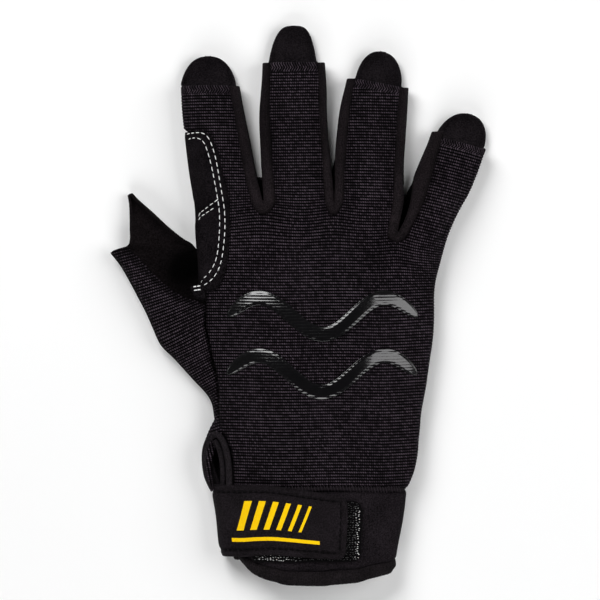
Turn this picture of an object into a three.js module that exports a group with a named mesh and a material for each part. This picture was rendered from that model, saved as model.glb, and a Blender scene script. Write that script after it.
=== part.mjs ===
// Right-hand climbing glove with half fingers, lying palm down, the back of the hand up.
// Millimetres. +X points to the little finger, +Y to the fingertips, +Z up, the floor is z = 0.
// The origin is under the middle of the palm.
import * as THREE from "three";

// Driving sizes
const HAND_WIDTH = 98.4;
const HAND_LENGTH = 118;
const PALM_HEIGHT = 24;
const INDEX_LENGTH = 46.7;
const MIDDLE_LENGTH = 56.4;
const RING_LENGTH = 48;
const PINKY_LENGTH = 36.3;
const FINGER_HEIGHT = 15.5;
const TONGUE_LENGTH = 12.6;
const THUMB_REACH = 36.5;
const THUMB_SWELL = 4.6;
const THUMB_TONGUE = 23.4;
const CUFF_HEIGHT = 39.6;
const BINDING_HEIGHT = 4.6;
const STRAP_WIDTH = 23.6;
const STRAP_REACH = 42;
const HOOK_WIDTH = 24;
const HOOK_REACH = 44;
const HOOK_SHOW = 6.2;
const WAVE_WIDTH = 5.6;
const WAVE_RISE = 7.5;
const ROLL_RADIUS = 1.2;
const INNER_ROLL_SHIFT = 2.75;
const STRAP_CORNER = 3.6;

// Walls and clearances
const CLOTH_WALL = 1.2;
const SUEDE_WALL = 1.2;
const FOURCHETTE_WALL = 1;
const PATCH_WALL = 1;
const CUFF_WALL = 2;
const BINDING_WALL = 3;
const STRAP_WALL = 1.8;
const HOOK_WALL = 1;
const PRINT_WALL = 0.6;
const GAP = 0.3;
const PATCH_CLEAR = 0.45;
const THUMB_CLEAR = 1.35;
const FORK_CLEAR = 0.45;
const FORK_TURN_CLEAR = 0.84;

// Heights of the seams and free edges above the floor
const SEAM_HEIGHT = 3;
const SIDE_HEIGHT = 9.5;
const THUMB_SEAM_HEIGHT = 4.2;
const CURL_HEIGHT = 6.5;
const SIDE_BULGE = 1.8;
const FOURCHETTE_BULGE = 1.3;
const CURL_BULGE = 2.1;
const CUFF_CURL_BULGE = 1.4;
const CUFF_CURL_SHIFT = 2.6;
const FORK_SAG = 1.2;
const FORK_FOOT_DIP = 1.2;
const THUMB_SEAM_DROP = 1.5;
const ROLL_SINK = 0.6;
const INNER_ROLL_SINK = 2;
const STRAP_FOOT = 1.6;

// How square the cross-sections are, as powers: 2 is a round arch, more is flatter with steeper sides
const HAND_POWER = 2.6;
const FINGER_POWER = 2.3;
const PALM_RIM_POWER = 16;
const TONGUE_RIM_POWER = 7;
const THUMB_RIM_POWER = 4;

// Places along the hand, as shares of its length from the wrist seam to the finger forks
const PINKY_BASE = 0.889;
const PALM_FORK = 1.08;
const PALM_PINKY_BASE = 0.945;
const THUMB_TOP = 0.66;
const WEB_TOP = 0.74;
const SLIT_TOP = 0.215;
const PALM_ROLL_TOP = 0.16;
const INNER_ROLL_TOP = 0.13;
const ROLL_FOOT = 0.012;
const FORK_BLEND = 0.24;

// Sides of the hand on the back, as shares of the hand width; edge is the height of the left edge
const BACK_OUTLINE = [
  { along: 0, left: -0.342, right: 0.383, crown: 0.84, edge: 1.2 },
  { along: 0.05, left: -0.344, right: 0.408, crown: 0.87, edge: 1.22 },
  { along: 0.115, left: -0.352, right: 0.425, crown: 0.91, edge: 1.24 },
  { along: 0.165, left: -0.371, right: 0.432, crown: 0.93, edge: 1.24 },
  { along: 0.21, left: -0.393, right: 0.44, crown: 0.95, edge: 1.22 },
  { along: 0.274, left: -0.4, right: 0.448, crown: 0.97, edge: 1.25 },
  { along: 0.378, left: -0.408, right: 0.469, crown: 1, edge: 1.36 },
  { along: 0.5, left: -0.442, right: 0.4875, crown: 1, edge: 1.42 },
  { along: 0.615, left: -0.471, right: 0.496, crown: 0.98, edge: 1.34 },
  { along: 0.708, left: -0.483, right: 0.502, crown: 0.94, edge: 1.1 },
  { along: 0.788, left: -0.4875, right: 0.525, crown: 0.89, edge: 1 },
  { along: 0.889, left: -0.496, right: 0.5625, crown: 0.82, edge: 1 },
  { along: 1, left: -0.508, right: 0.61, crown: 0.78, edge: 1 },
];

// Left edge of the palm, whose right edge follows the back; curl is how far it turns up at the slit
const PALM_OUTLINE = [
  { along: 0, left: -0.405, curl: 1 },
  { along: 0.08, left: -0.44, curl: 1 },
  { along: 0.14, left: -0.443, curl: 1 },
  { along: 0.2, left: -0.415, curl: 0.9 },
  { along: 0.27, left: -0.3875, curl: 0 },
  { along: 0.35, left: -0.379, curl: 0 },
  { along: 0.5, left: -0.421, curl: 0 },
  { along: 0.65, left: -0.454, curl: 0 },
  { along: 0.75, left: -0.467, curl: 0 },
  { along: 0.82, left: -0.477, curl: 0 },
  { along: 1, left: -0.501, curl: 0 },
];

// Finger sections from the fork (0) to the cut edge (1), as shares of the hand width from its middle
const INDEX_ROWS = [
  { at: 0, left: -0.508, right: -0.2625, palmRight: -0.248 },
  { at: 0.25, left: -0.525, right: -0.29, palmRight: -0.271 },
  { at: 0.5, left: -0.54, right: -0.31, palmRight: -0.29 },
  { at: 0.75, left: -0.55, right: -0.326, palmRight: -0.308 },
  { at: 1, left: -0.558, right: -0.35, palmRight: -0.329 },
];
const MIDDLE_ROWS = [
  { at: 0, left: -0.175, right: 0.046, palmLeft: -0.208, palmRight: 0.042 },
  { at: 0.25, left: -0.183, right: 0.0375, palmLeft: -0.217, palmRight: 0.035 },
  { at: 0.5, left: -0.19, right: 0.029, palmLeft: -0.217, palmRight: 0.033 },
  { at: 0.75, left: -0.192, right: 0.025, palmLeft: -0.208, palmRight: 0.029 },
  { at: 1, left: -0.194, right: 0.015, palmLeft: -0.198, palmRight: 0.018 },
];
const RING_ROWS = [
  { at: 0, left: 0.108, right: 0.329, palmLeft: 0.067, palmRight: 0.35 },
  { at: 0.25, left: 0.117, right: 0.335, palmLeft: 0.092, palmRight: 0.354 },
  { at: 0.5, left: 0.127, right: 0.342, palmLeft: 0.108, palmRight: 0.3625 },
  { at: 0.75, left: 0.142, right: 0.353, palmLeft: 0.127, palmRight: 0.373 },
  { at: 1, left: 0.158, right: 0.36, palmLeft: 0.154, palmRight: 0.374 },
];
const PINKY_ROWS = [
  { at: 0, left: 0.3875, right: 0.5625, palmLeft: 0.379 },
  { at: 0.25, left: 0.433, right: 0.598, palmLeft: 0.4125 },
  { at: 0.5, left: 0.469, right: 0.644, palmLeft: 0.4375 },
  { at: 0.75, left: 0.496, right: 0.681, palmLeft: 0.4625 },
  { at: 1, left: 0.521, right: 0.71, palmLeft: 0.49 },
];
const FINGERS = [
  { length: INDEX_LENGTH, slant: 0, lean: -0.02, tongue: 1, rows: INDEX_ROWS },
  { length: MIDDLE_LENGTH, slant: 0, lean: 0, tongue: 1.24, rows: MIDDLE_ROWS },
  { length: RING_LENGTH, slant: 9.5, lean: 0.08, tongue: 1.06, rows: RING_ROWS },
  { length: PINKY_LENGTH, slant: 13.7, lean: 0.16, tongue: 0.98, rows: PINKY_ROWS },
];

// Share of the hand's breadth at which each finger side lies, measured at the base of the little finger
const FINGER_SIDES = [0, 0.2244, 0.3031, 0.5118, 0.5669, 0.7598, 0.8346, 1];

// Depth of each fork's round bottom, as a share of the hand length
const FORK_DIPS = { 1: 0.036, 3: 0.04, 5: 0.022 };

// Thumb sections from the tip to the wrist: outer side and upper rim, as shares of the thumb's reach
// from its root line and of the hand length; swell is the share of the thumb's swell over its seams
const THUMB_ROOT = -0.479;
const THUMB_ROWS = [
  { at: 0, reach: 1, along: 0.819, rim: 0.82, rimAlong: 0.84, height: 0.72, swell: 0.3 },
  { at: 1, reach: 0.888, along: 0.771, rim: 0.652, rimAlong: 0.788, height: 0.95, swell: 0.55 },
  { at: 2, reach: 0.753, along: 0.698, rim: 0.449, rimAlong: 0.722, height: 1.12, swell: 0.8 },
  { at: 3, reach: 0.629, along: 0.622, rim: 0.202, rimAlong: 0.667, height: 1.22, swell: 1 },
  { at: 4, reach: 0.539, along: 0.556, rim: 0.012, rimAlong: 0.642, height: 1.28, swell: 1 },
  { at: 5, reach: 0.449, along: 0.5, rim: 0, rimAlong: 0.576, height: 1, swell: 0.9 },
  { at: 6, reach: 0.281, along: 0.448, rim: 0, rimAlong: 0.507, height: 1, swell: 0.7 },
  { at: 7, reach: 0.09, along: 0.382, rim: 0, rimAlong: 0.417, height: 1, swell: 0.45 },
  { at: 8, reach: -0.112, along: 0.309, rim: 0, rimAlong: 0.326, height: 1, swell: 0.22 },
  { at: 9, reach: -0.169, along: 0.236, rim: 0, rimAlong: 0.236, height: 1, swell: 0.1 },
];
const THUMB_SEAM_ROW = 4;
const THUMB_LAST_ROW = 9;
const THUMB_TIP_ROW = 15;

// Suede side of the thumb: places of its seam along the hand, then the sections of its tongue. Both edges
// are shares of the reach, along is a share of the tongue's length, the rises are shares of the seam height
const THUMB_PALM_ALONG = [0.245, 0.32, 0.39, 0.46, 0.53, 0.6, 0.66, 0.715, 0.765, 0.805];
const THUMB_TONGUE_ROWS = [
  { at: 0, left: 1, right: 0.035, along: 0, leftRise: 1, rightRise: 0.6 },
  { at: 1, left: 0.82, right: 0.1, along: 0.13, leftRise: 0.9, rightRise: 1 },
  { at: 2, left: 0.781, right: 0.2, along: 0.23, leftRise: 0.8, rightRise: 1.4 },
  { at: 3, left: 0.785, right: 0.365, along: 0.44, leftRise: 0.8, rightRise: 1.7 },
  { at: 4, left: 0.797, right: 0.53, along: 0.67, leftRise: 0.9, rightRise: 1.7 },
  { at: 5, left: 0.812, right: 0.69, along: 0.88, leftRise: 0.8, rightRise: 1.2 },
  { at: 6, left: 0.827, right: 0.765, along: 1, leftRise: 0.7, rightRise: 0.8 },
];

// Edge of the index patch across the finger's back (0 left side, 1 right side of the ribbed strip)
const PATCH_ROWS = [
  { row: 0.68, edge: 0.1 },
  { row: 0.7, edge: 0.3 },
  { row: 0.73, edge: 0.43 },
  { row: 0.78, edge: 0.53 },
  { row: 0.86, edge: 0.58 },
  { row: 1, edge: 0.6 },
  { row: 1.3, edge: 0.58 },
  { row: 1.42, edge: 0.55 },
  { row: 1.5, edge: 0.5 },
  { row: 1.56, edge: 0.42 },
  { row: 1.6, edge: 0.3 },
];
const PATCH_SPLIT = { row: 0.935, slope: 0.1 };
const PATCH_FOOT = 0.3;

// Length of the cuff round the wrist, as shares of its height: back from the slit, side, palm to slit
const CUFF_EDGE = [
  { at: 0, share: 0.715 },
  { at: 0.35, share: 0.82 },
  { at: 1, share: 0.925 },
  { at: 2, share: 0.985 },
  { at: 3.5, share: 1 },
  { at: 5.5, share: 0.96 },
  { at: 7, share: 0.86 },
  { at: 8, share: 0.8 },
  { at: 9, share: 0.84 },
  { at: 11, share: 0.88 },
  { at: 13, share: 0.8 },
  { at: 14.3, share: 0.71 },
  { at: 16, share: 0.71 },
];
const CUFF_TAPER = 0.095;
const CUFF_SINK = 0.04;
const CUFF_MIDDLE = 0.005;

// Places round the wrist: end of the back, start of the palm, start and end of the turned-up edge
const RING_BACK = 7;
const RING_PALM = 8;
const RING_TURN = 15;
const RING_END = 16;

// Strap: distances in from the wrist seam, from the hand's middle line as shares of its width,
// and how far its lower edge falls and sags towards its free end
const STRAP_TOP = 0.6;
const STRAP_LEFT = -0.338;
const STRAP_SIDE = -0.4175;
const STRAP_START = 4;
const STRAP_DROP = 3.6;
const STRAP_SAG = 0.5;
const HOOK_BELOW = 5.2;

// Handles of the strap's turn round the edge of the wrist
const STRAP_BEND = { foot: 0.6, outward: 1.4, inward: 7, rise: 0.72, ease: 1.1 };

// Part of a fourchette's length that goes round the fork, and how slack the strip is there
const FORK_TURN = 0.1;
const FORK_TURN_SLACK = 1;

// Raised print: ends and middle lines of the waves
const WAVE_LEFT = -0.36;
const WAVE_RIGHT = 0.42;
const WAVE_TURNS = 1.5;
const WAVE_SIDES = 26;
const WAVE_LINES = [
  { name: "print_wave_upper", middle: 0.6 },
  { name: "print_wave_lower", middle: 0.4 },
];

const COLOURS = {
  cloth: 0x1c191c,
  suede: 0x171517,
  smooth: 0x211c1f,
  tape: 0x111111,
  gloss: 0x0a0a0b,
};

// Number helpers
function mix(a, b, t) {
  return a + (b - a) * t;
}

function clamp01(t) {
  return Math.min(1, Math.max(0, t));
}

function smooth(t) {
  const s = clamp01(t);
  return s * s * (3 - 2 * s);
}

// Height of an arch over 0 to 1 that is 1 in the middle
function arch(t) {
  return 4 * t * (1 - t);
}

function steps(from, to, count) {
  return Array.from({ length: count + 1 }, (_, i) => mix(from, to, i / count));
}

// Smooth curve through one column of a table, read at a value of its key column
function read(rows, key, column, value) {
  const last = rows.length - 1;
  const place = rows.findIndex((row) => row[key] > value);
  const i = place < 0 ? last - 1 : Math.max(0, place - 1);
  const t = clamp01((value - rows[i][key]) / (rows[i + 1][key] - rows[i][key]));
  const span = rows[i + 1][key] - rows[i][key];
  const slope = (j) => {
    const a = rows[Math.max(0, j - 1)];
    const b = rows[Math.min(last, j + 1)];
    return ((b[column] - a[column]) / (b[key] - a[key])) * span;
  };
  const t2 = t * t;
  const t3 = t2 * t;
  return (
    (2 * t3 - 3 * t2 + 1) * rows[i][column] +
    (t3 - 2 * t2 + t) * slope(i) +
    (3 * t2 - 2 * t3) * rows[i + 1][column] +
    (t3 - t2) * slope(i + 1)
  );
}

// Distance along the hand for a share of its length
function along(share) {
  return (share - 0.5) * HAND_LENGTH;
}

// Outward direction of a surface at a pair of coordinates, kept inside their ranges
function normalAt(point, u, v, range, flip) {
  const e = 1e-3;
  const a = point(Math.max(range[0], u - e), v);
  const b = point(Math.min(range[1], u + e), v);
  const c = point(u, Math.max(range[2], v - e));
  const d = point(u, Math.min(range[3], v + e));
  const across = new THREE.Vector3(...b).sub(new THREE.Vector3(...a));
  const up = new THREE.Vector3(...d).sub(new THREE.Vector3(...c));
  return across.cross(up).normalize().multiplyScalar(flip ? -1 : 1);
}

function downward() {
  return new THREE.Vector3(0, 0, -1);
}

// Closed thin solid from patches of a surface: outer skin, inner skin one wall inside it, and rims.
// A patch may state its own outward normal.
function sheet(patches, wall) {
  const places = [];
  const normals = [];
  const faces = [];
  const known = new Map();
  const vertex = (patch, u, v) => {
    const p = patch.point(u, v);
    const key = p.map((n) => Math.round(n * 500)).join(",");
    if (!known.has(key)) {
      known.set(key, places.length);
      places.push(new THREE.Vector3(...p));
      normals.push(new THREE.Vector3());
    }
    const id = known.get(key);
    const range = [patch.us[0], patch.us.at(-1), patch.vs[0], patch.vs.at(-1)];
    normals[id].add(patch.normal?.(u, v) ?? normalAt(patch.point, u, v, range, patch.flip));
    return id;
  };
  for (const patch of patches) {
    const ids = patch.vs.map((v) => patch.us.map((u) => vertex(patch, u, v)));
    for (let j = 0; j + 1 < patch.vs.length; j++) {
      for (let i = 0; i + 1 < patch.us.length; i++) {
        const quad = [ids[j][i], ids[j][i + 1], ids[j + 1][i + 1], ids[j + 1][i]];
        if (patch.flip) quad.reverse();
        faces.push([quad[0], quad[1], quad[2]], [quad[0], quad[2], quad[3]]);
      }
    }
  }
  return closed(places, normals, faces.filter(distinct), wall);
}

function distinct(face) {
  return face[0] !== face[1] && face[1] !== face[2] && face[0] !== face[2];
}

// Inner skin and rims of an open skin of triangles
function closed(places, normals, faces, wall) {
  const count = places.length;
  const inner = places.map((p, i) => p.clone().addScaledVector(normals[i].normalize(), -wall));
  const edges = new Map();
  for (const face of faces) {
    face.forEach((a, i) => edges.set(a + "," + face[(i + 1) % 3], [a, face[(i + 1) % 3]]));
  }
  const triangles = [...faces, ...faces.map(([a, b, c]) => [c + count, b + count, a + count])];
  for (const [a, b] of edges.values()) {
    if (edges.has(b + "," + a)) continue;
    triangles.push([b, a, a + count], [b, a + count, b + count]);
  }
  const geometry = new THREE.BufferGeometry();
  geometry.setFromPoints([...places, ...inner]);
  geometry.setIndex(triangles.flat());
  geometry.computeVertexNormals();
  return geometry;
}

function named(name, geometry, colour, roughness) {
  const material = new THREE.MeshStandardMaterial({ color: colour, roughness, metalness: 0 });
  const mesh = new THREE.Mesh(geometry, material);
  mesh.name = name;
  return mesh;
}

// Back of the hand. Columns: 0 left seam, 1 to 8 the finger sides from left to right, 9 right seam.
// Rows: 0 wrist seam, 1 finger forks, 2 cut edges of the fingers.
function fingerOf(line) {
  return FINGERS[Math.floor(line / 2)];
}

function baseOf(line) {
  return line >= 6 ? PINKY_BASE : 1;
}

// How far the patch pushes the index side in, so that the patch is the outer side there
function patchRoom(row) {
  const start = smooth((row - 0.56) / 0.06);
  const end = smooth((1.7 - row) / 0.06);
  return (PATCH_WALL + GAP) * start * end;
}

function handSide(row, side) {
  return HAND_WIDTH * read(BACK_OUTLINE, "along", side, row);
}

// Left edge of the back: on the seam below the thumb's top, set in by the side's bulge above it
function leftInset(row) {
  return SIDE_BULGE * smooth((row - 0.6) / 0.1) + patchRoom(row);
}

function backLineAcross(line, row) {
  const base = baseOf(line);
  const inset = line === 0 ? leftInset(row) : line === 7 ? -SIDE_BULGE : 0;
  if (row > base) {
    const at = (row - base) / (2 - base);
    return HAND_WIDTH * read(fingerOf(line).rows, "at", line % 2 ? "right" : "left", at) + inset;
  }
  if (line === 0) return handSide(row, "left") + inset;
  const share = FINGER_SIDES[line];
  const low = Math.min(row, PINKY_BASE);
  const across = mix(handSide(low, "left"), handSide(low, "right"), share) + inset;
  if (row <= PINKY_BASE) return across;
  const top = HAND_WIDTH * fingerOf(line).rows[0][line % 2 ? "right" : "left"];
  return mix(across, top, (row - PINKY_BASE) / (1 - PINKY_BASE));
}

// Length of one side of a finger, longer or shorter where its cut edge is slanted
function sideLength(line) {
  const finger = fingerOf(line);
  const last = finger.rows.at(-1);
  const slant = Math.tan((finger.slant * Math.PI) / 180) * (last.right - last.left) * HAND_WIDTH;
  return finger.length + (line % 2 ? -slant : slant) / 2;
}

function backLineAlong(line, row) {
  const base = baseOf(line);
  if (row <= base) return along(row);
  return along(base) + ((row - base) / (2 - base)) * sideLength(line);
}

// Row at which the fingers begin to part in a column
function forkRow(column) {
  return mix(1, PINKY_BASE, clamp01(column - 5));
}

function forkDip(line, share, row) {
  const end = line === 5 ? PINKY_BASE : 1;
  const near = Math.exp(-(((end - row) / 0.06) ** 2));
  return FORK_DIPS[line] * HAND_LENGTH * arch(share) * near;
}

// Height of the back over the whole hand, without the fingers
function domeHeight(across, row) {
  const low = Math.min(row, 1);
  const left = handSide(low, "left");
  const right = handSide(Math.min(row, PINKY_BASE), "right");
  const s = Math.min(1, Math.abs((2 * (across - left)) / (right - left) - 1));
  const side = clamp01((across - left) / (right - left));
  const edge = SIDE_HEIGHT * mix(read(BACK_OUTLINE, "along", "edge", low), 1, side);
  const crown = PALM_HEIGHT * read(BACK_OUTLINE, "along", "crown", low);
  return edge + (crown - edge) * (1 - s ** HAND_POWER);
}

// Height of the back where the fingers have parted: a round back each, a dip at each fork
function fingerHeight(column, row) {
  const line = Math.min(6, Math.floor(column - 1));
  const share = column - 1 - line;
  if (line % 2) return SIDE_HEIGHT - FORK_SAG * arch(share);
  const at = clamp01(row - 1);
  const crown = FINGER_HEIGHT * mix(1.1, 0.94, at);
  return SIDE_HEIGHT + (crown - SIDE_HEIGHT) * (1 - Math.abs(2 * share - 1) ** FINGER_POWER);
}

function backTop(column, row) {
  const line = Math.min(6, Math.floor(column - 1));
  const share = column - 1 - line;
  const across = mix(backLineAcross(line, row), backLineAcross(line + 1, row), share);
  let reach = mix(backLineAlong(line, row), backLineAlong(line + 1, row), share);
  if (line % 2) reach -= forkDip(line, share, row);
  const fork = forkRow(column);
  const parted = smooth((row - (fork - FORK_BLEND)) / FORK_BLEND);
  return [across, reach, mix(domeHeight(across, row), fingerHeight(column, row), parted)];
}

// A side below the top edge: bulges out and comes back in at the seam with the palm
function sideBelow(top, depth, outward, bulge) {
  const foot = SEAM_HEIGHT + GAP / 2;
  const swell = bulge * arch(depth);
  return [top[0] + outward * swell, top[1], mix(top[2], foot, depth)];
}

function backPoint(column, row) {
  if (column < 1) return sideBelow(backTop(1, row), 1 - column, -1, SIDE_BULGE);
  if (column > 8) return sideBelow(backTop(8, row), column - 8, 1, SIDE_BULGE);
  return backTop(column, row);
}

const BACK_COLUMNS = [
  ...steps(1, 2, 6),
  ...steps(2, 3, 2).slice(1),
  ...steps(3, 4, 6).slice(1),
  ...steps(4, 5, 2).slice(1),
  ...steps(5, 6, 6).slice(1),
  ...steps(6, 7, 2).slice(1),
  ...steps(7, 8, 6).slice(1),
];

function backPanel() {
  const thumbRows = steps(0, THUMB_TOP, 9);
  const knuckleRows = steps(THUMB_TOP, PINKY_BASE, 4);
  const forkRows = steps(PINKY_BASE, 1, 2);
  const fingerRows = [1, 1.16, 1.32, 1.48, 1.62, 1.72, 2];
  const left = steps(0, 1, 4);
  const right = steps(8, 9, 3);
  const toRing = BACK_COLUMNS.filter((c) => c <= 6);
  const patches = [
    { point: backPoint, us: BACK_COLUMNS, vs: thumbRows },
    { point: backPoint, us: BACK_COLUMNS, vs: knuckleRows },
    { point: backPoint, us: toRing, vs: forkRows },
    { point: backPoint, us: right, vs: thumbRows },
    { point: backPoint, us: right, vs: knuckleRows },
    { point: backPoint, us: left, vs: knuckleRows },
    { point: backPoint, us: left, vs: forkRows },
    { point: backPoint, us: left, vs: fingerRows },
    { point: backPoint, us: right, vs: [...forkRows, ...fingerRows.slice(1)] },
    { point: backPoint, us: steps(7, 8, 6), vs: [...forkRows, ...fingerRows.slice(1)] },
    { point: backPoint, us: steps(1, 2, 6), vs: fingerRows },
    { point: backPoint, us: steps(3, 4, 6), vs: fingerRows },
    { point: backPoint, us: steps(5, 6, 6), vs: fingerRows },
  ];
  return named("back_panel", sheet(patches, CLOTH_WALL), COLOURS.cloth, 0.9);
}

// Palm. Columns as on the back, 0 to 1 being the part that curls up at the slit; rows 2 to 3 are the
// finger tongues.
function palmBaseOf(line) {
  return line >= 6 ? PALM_PINKY_BASE : 1;
}

function palmLeft(share) {
  return HAND_WIDTH * read(PALM_OUTLINE, "along", "left", share);
}

// Row of the back that lies over a distance along the hand, on one column line
function backRow(line, distance) {
  const base = baseOf(line);
  if (distance <= along(base)) return distance / HAND_LENGTH + 0.5;
  return base + ((distance - along(base)) / sideLength(line)) * (2 - base);
}

function palmRight(row) {
  return backLineAcross(7, backRow(7, palmLineAlong(7, row)));
}

// Left edge of the palm: its own outline up to the thumb's web, then under the index side of the back
function palmIndexSide(row) {
  const own = palmLeft(Math.min(row * PALM_FORK, 1));
  const under = backLineAcross(0, backRow(0, palmLineAlong(0, row)));
  return mix(own, under, smooth((row * PALM_FORK - WEB_TOP) / 0.08));
}

function palmLineAcross(line, row) {
  const base = palmBaseOf(line);
  const side = line % 2 ? "palmRight" : "palmLeft";
  const rows = fingerOf(line).rows;
  if (line === 7) return palmRight(row);
  if (line === 0) return palmIndexSide(row);
  if (row > base) return HAND_WIDTH * read(rows, "at", side, (row - base) / (2 - base));
  const low = Math.min(row, PALM_PINKY_BASE);
  const across = mix(palmIndexSide(low), palmRight(low), FINGER_SIDES[line]);
  const top = HAND_WIDTH * rows[0][side];
  return mix(across, top, smooth((row - 0.78) / 0.22));
}

function palmLineAlong(line, row) {
  const base = palmBaseOf(line);
  if (row <= base) return along(row * PALM_FORK);
  const tip = along(baseOf(line)) + sideLength(line);
  return mix(along(base * PALM_FORK), tip, (row - base) / (2 - base));
}

// How far the palm's edge is turned up, 1 at a seam
function palmLift(column, row) {
  const line = Math.min(6, Math.floor(column - 1));
  const share = column - 1 - line;
  const fork = line >= 5 ? PALM_PINKY_BASE : 1;
  const parted = smooth((row - (fork - 0.08)) / 0.08);
  const inFinger = line % 2 ? 1 : Math.abs(2 * share - 1) ** TONGUE_RIM_POWER;
  const overWeb = smooth((row * PALM_FORK - WEB_TOP + 0.02) / 0.1);
  const leftSide = column < 2 ? (2 - column) ** PALM_RIM_POWER * overWeb : 0;
  const rightSide = column > 7 ? (column - 7) ** PALM_RIM_POWER : 0;
  return Math.max(inFinger * parted, leftSide, rightSide);
}

// Tongue past the cut edge: a half oval that leans with the finger and turns up at its end
function tonguePoint(column, row) {
  const line = 2 * Math.floor((column - 1) / 2);
  const finger = fingerOf(line);
  const out = row - 2;
  const share = 2 * (column - 1 - line) - 1;
  const left = palmLineAcross(line, 2);
  const right = palmLineAcross(line + 1, 2);
  const length = TONGUE_LENGTH * finger.tongue;
  const narrow = Math.sqrt(Math.max(0.012, 1 - out ** 2.1));
  const width = ((right - left) / 2) * narrow;
  const middle = (left + right) / 2 + finger.lean * length * out;
  const start = mix(palmLineAlong(line, 2), palmLineAlong(line + 1, 2), (share * narrow + 1) / 2);
  const rise = Math.abs(share) ** TONGUE_RIM_POWER * (1 - out) + 1.1 * out ** 2.2;
  return [middle + share * width, start + length * out, (SEAM_HEIGHT - GAP / 2) * rise];
}

function palmPoint(column, row) {
  if (column < 1) return palmCurl(1 - column, row);
  if (row > 2) return tonguePoint(column, row);
  const line = Math.min(6, Math.floor(column - 1));
  const share = column - 1 - line;
  const across = mix(palmLineAcross(line, row), palmLineAcross(line + 1, row), share);
  const reach = mix(palmLineAlong(line, row), palmLineAlong(line + 1, row), share);
  return [across, reach, (SEAM_HEIGHT - GAP / 2) * palmLift(column, row)];
}

// The palm's thumb side at the wrist turns up round the slit
function palmCurl(depth, row) {
  const share = read(PALM_OUTLINE, "along", "curl", row * PALM_FORK);
  const swell = CURL_BULGE * arch(depth) * share;
  const across = palmLeft(row * PALM_FORK) - swell + 0.6 * depth * share;
  return [across, along(row * PALM_FORK), CURL_HEIGHT * share * depth];
}

const STRIP_SHARES = [0, 0.1, 0.27, 0.5, 0.73, 0.9, 1];

function strip(from) {
  return STRIP_SHARES.map((share) => from + share);
}

const CURL_COLUMNS = [0, 0.3, 0.55, 1];
const PALM_COLUMNS = [1, 2, 3, 4, 5, 6, 7].flatMap((from) => {
  const part = from % 2 ? strip(from) : [from, from + 0.5, from + 1];
  return from === 1 ? part : part.slice(1);
});

function palmPanel() {
  const low = [0, 0.06, 0.12, 0.17, 0.21];
  const middle = [0.21, 0.26, 0.34, 0.46, 0.58, 0.7, 0.78, 0.86, 0.905, PALM_PINKY_BASE];
  const fork = steps(PALM_PINKY_BASE, 1, 2);
  const finger = steps(1, 2, 4);
  const tongue = [2, 2.3, 2.55, 2.75, 2.9, 2.97, 3];
  const toRing = PALM_COLUMNS.filter((c) => c <= 6);
  const palm = (us, vs) => ({ point: palmPoint, us, vs, flip: true });
  const flat = (us, vs) => ({ ...palm(us, vs), normal: downward });
  const patches = [
    palm(PALM_COLUMNS, low),
    palm(PALM_COLUMNS, middle),
    palm(toRing, fork),
    palm(CURL_COLUMNS, low),
    palm(strip(1), finger),
    palm(strip(3), finger),
    palm(strip(5), finger),
    palm(strip(7), [PALM_PINKY_BASE, ...steps(1.2, 2, 4)]),
    flat(strip(1), tongue),
    flat(strip(3), tongue),
    flat(strip(5), tongue),
    flat(strip(7), tongue),
  ];
  return named("palm_panel", sheet(patches, SUEDE_WALL), COLOURS.suede, 0.95);
}

// Strips between the fingers: each runs down one finger, round the fork and up the next
const FORKS = [
  { name: "fourchette_index_middle", line: 1, base: 1, palmBase: 1 },
  { name: "fourchette_middle_ring", line: 3, base: 1, palmBase: 1 },
  { name: "fourchette_ring_pinky", line: 5, base: PINKY_BASE, palmBase: PALM_PINKY_BASE },
];
// Column and row on a panel for a place along the strip, 0 and 1 at the cut edges
function forkPath(line, base, at) {
  const first = 0.5 - FORK_TURN;
  const second = 0.5 + FORK_TURN;
  if (at < first) return [line + 1, mix(2, base, at / first)];
  if (at > second) return [line + 2, mix(base, 2, (at - second) / (1 - second))];
  return [line + 1 + (at - first) / (second - first), base];
}

// Sideways direction into the gap between the fingers
function forkOutward(at) {
  const turn = clamp01((at - (0.5 - FORK_TURN)) / (2 * FORK_TURN));
  return [Math.cos(Math.PI * turn), Math.sin(Math.PI * turn)];
}

// Room left at the turn of a fork, where the palm's rim lies flat and the strip comes up slanting
function turnShare(at) {
  return smooth((FORK_TURN + 0.09 - Math.abs(at - 0.5)) / 0.08);
}

function forkPoint(fork, at, up) {
  const foot = palmPoint(...forkPath(fork.line, fork.palmBase, at));
  const top = backTop(...forkPath(fork.line, fork.base, at));
  const [sideways, forward] = forkOutward(at);
  const turn = turnShare(at);
  const swell = FOURCHETTE_BULGE * arch(up) * (1 - FORK_TURN_SLACK * turn);
  const clear = up * mix(FORK_CLEAR, FORK_TURN_CLEAR, turn);
  return [
    mix(foot[0], top[0], up) + sideways * (swell + clear),
    mix(foot[1] - FORK_FOOT_DIP * forward ** 2, top[1], up) + forward * (swell + clear),
    mix(SEAM_HEIGHT + GAP / 2 + SUEDE_WALL * turn, top[2] - GAP, up),
  ];
}

function fourchette(fork) {
  const turn = [0.5 - FORK_TURN, 0.5 + FORK_TURN];
  const places = [...steps(0, turn[0], 6), ...steps(...turn, 2).slice(1), ...steps(turn[1], 1, 6).slice(1)];
  const patch = {
    point: (at, up) => forkPoint(fork, at, up),
    normal: (at) => new THREE.Vector3(...forkOutward(at), 0).negate(),
    us: places,
    vs: steps(0, 1, 3),
  };
  return named(fork.name, sheet([patch], FOURCHETTE_WALL), COLOURS.smooth, 0.85);
}

// Suede patches on the index side, a gap outside the back
function overBack(column, row, lift) {
  const n = normalAt(backPoint, column, row, [0, 9, 0, 2], false);
  const p = backPoint(column, row);
  return [p[0] + n.x * lift, p[1] + n.y * lift, p[2] + n.z * lift];
}

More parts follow.
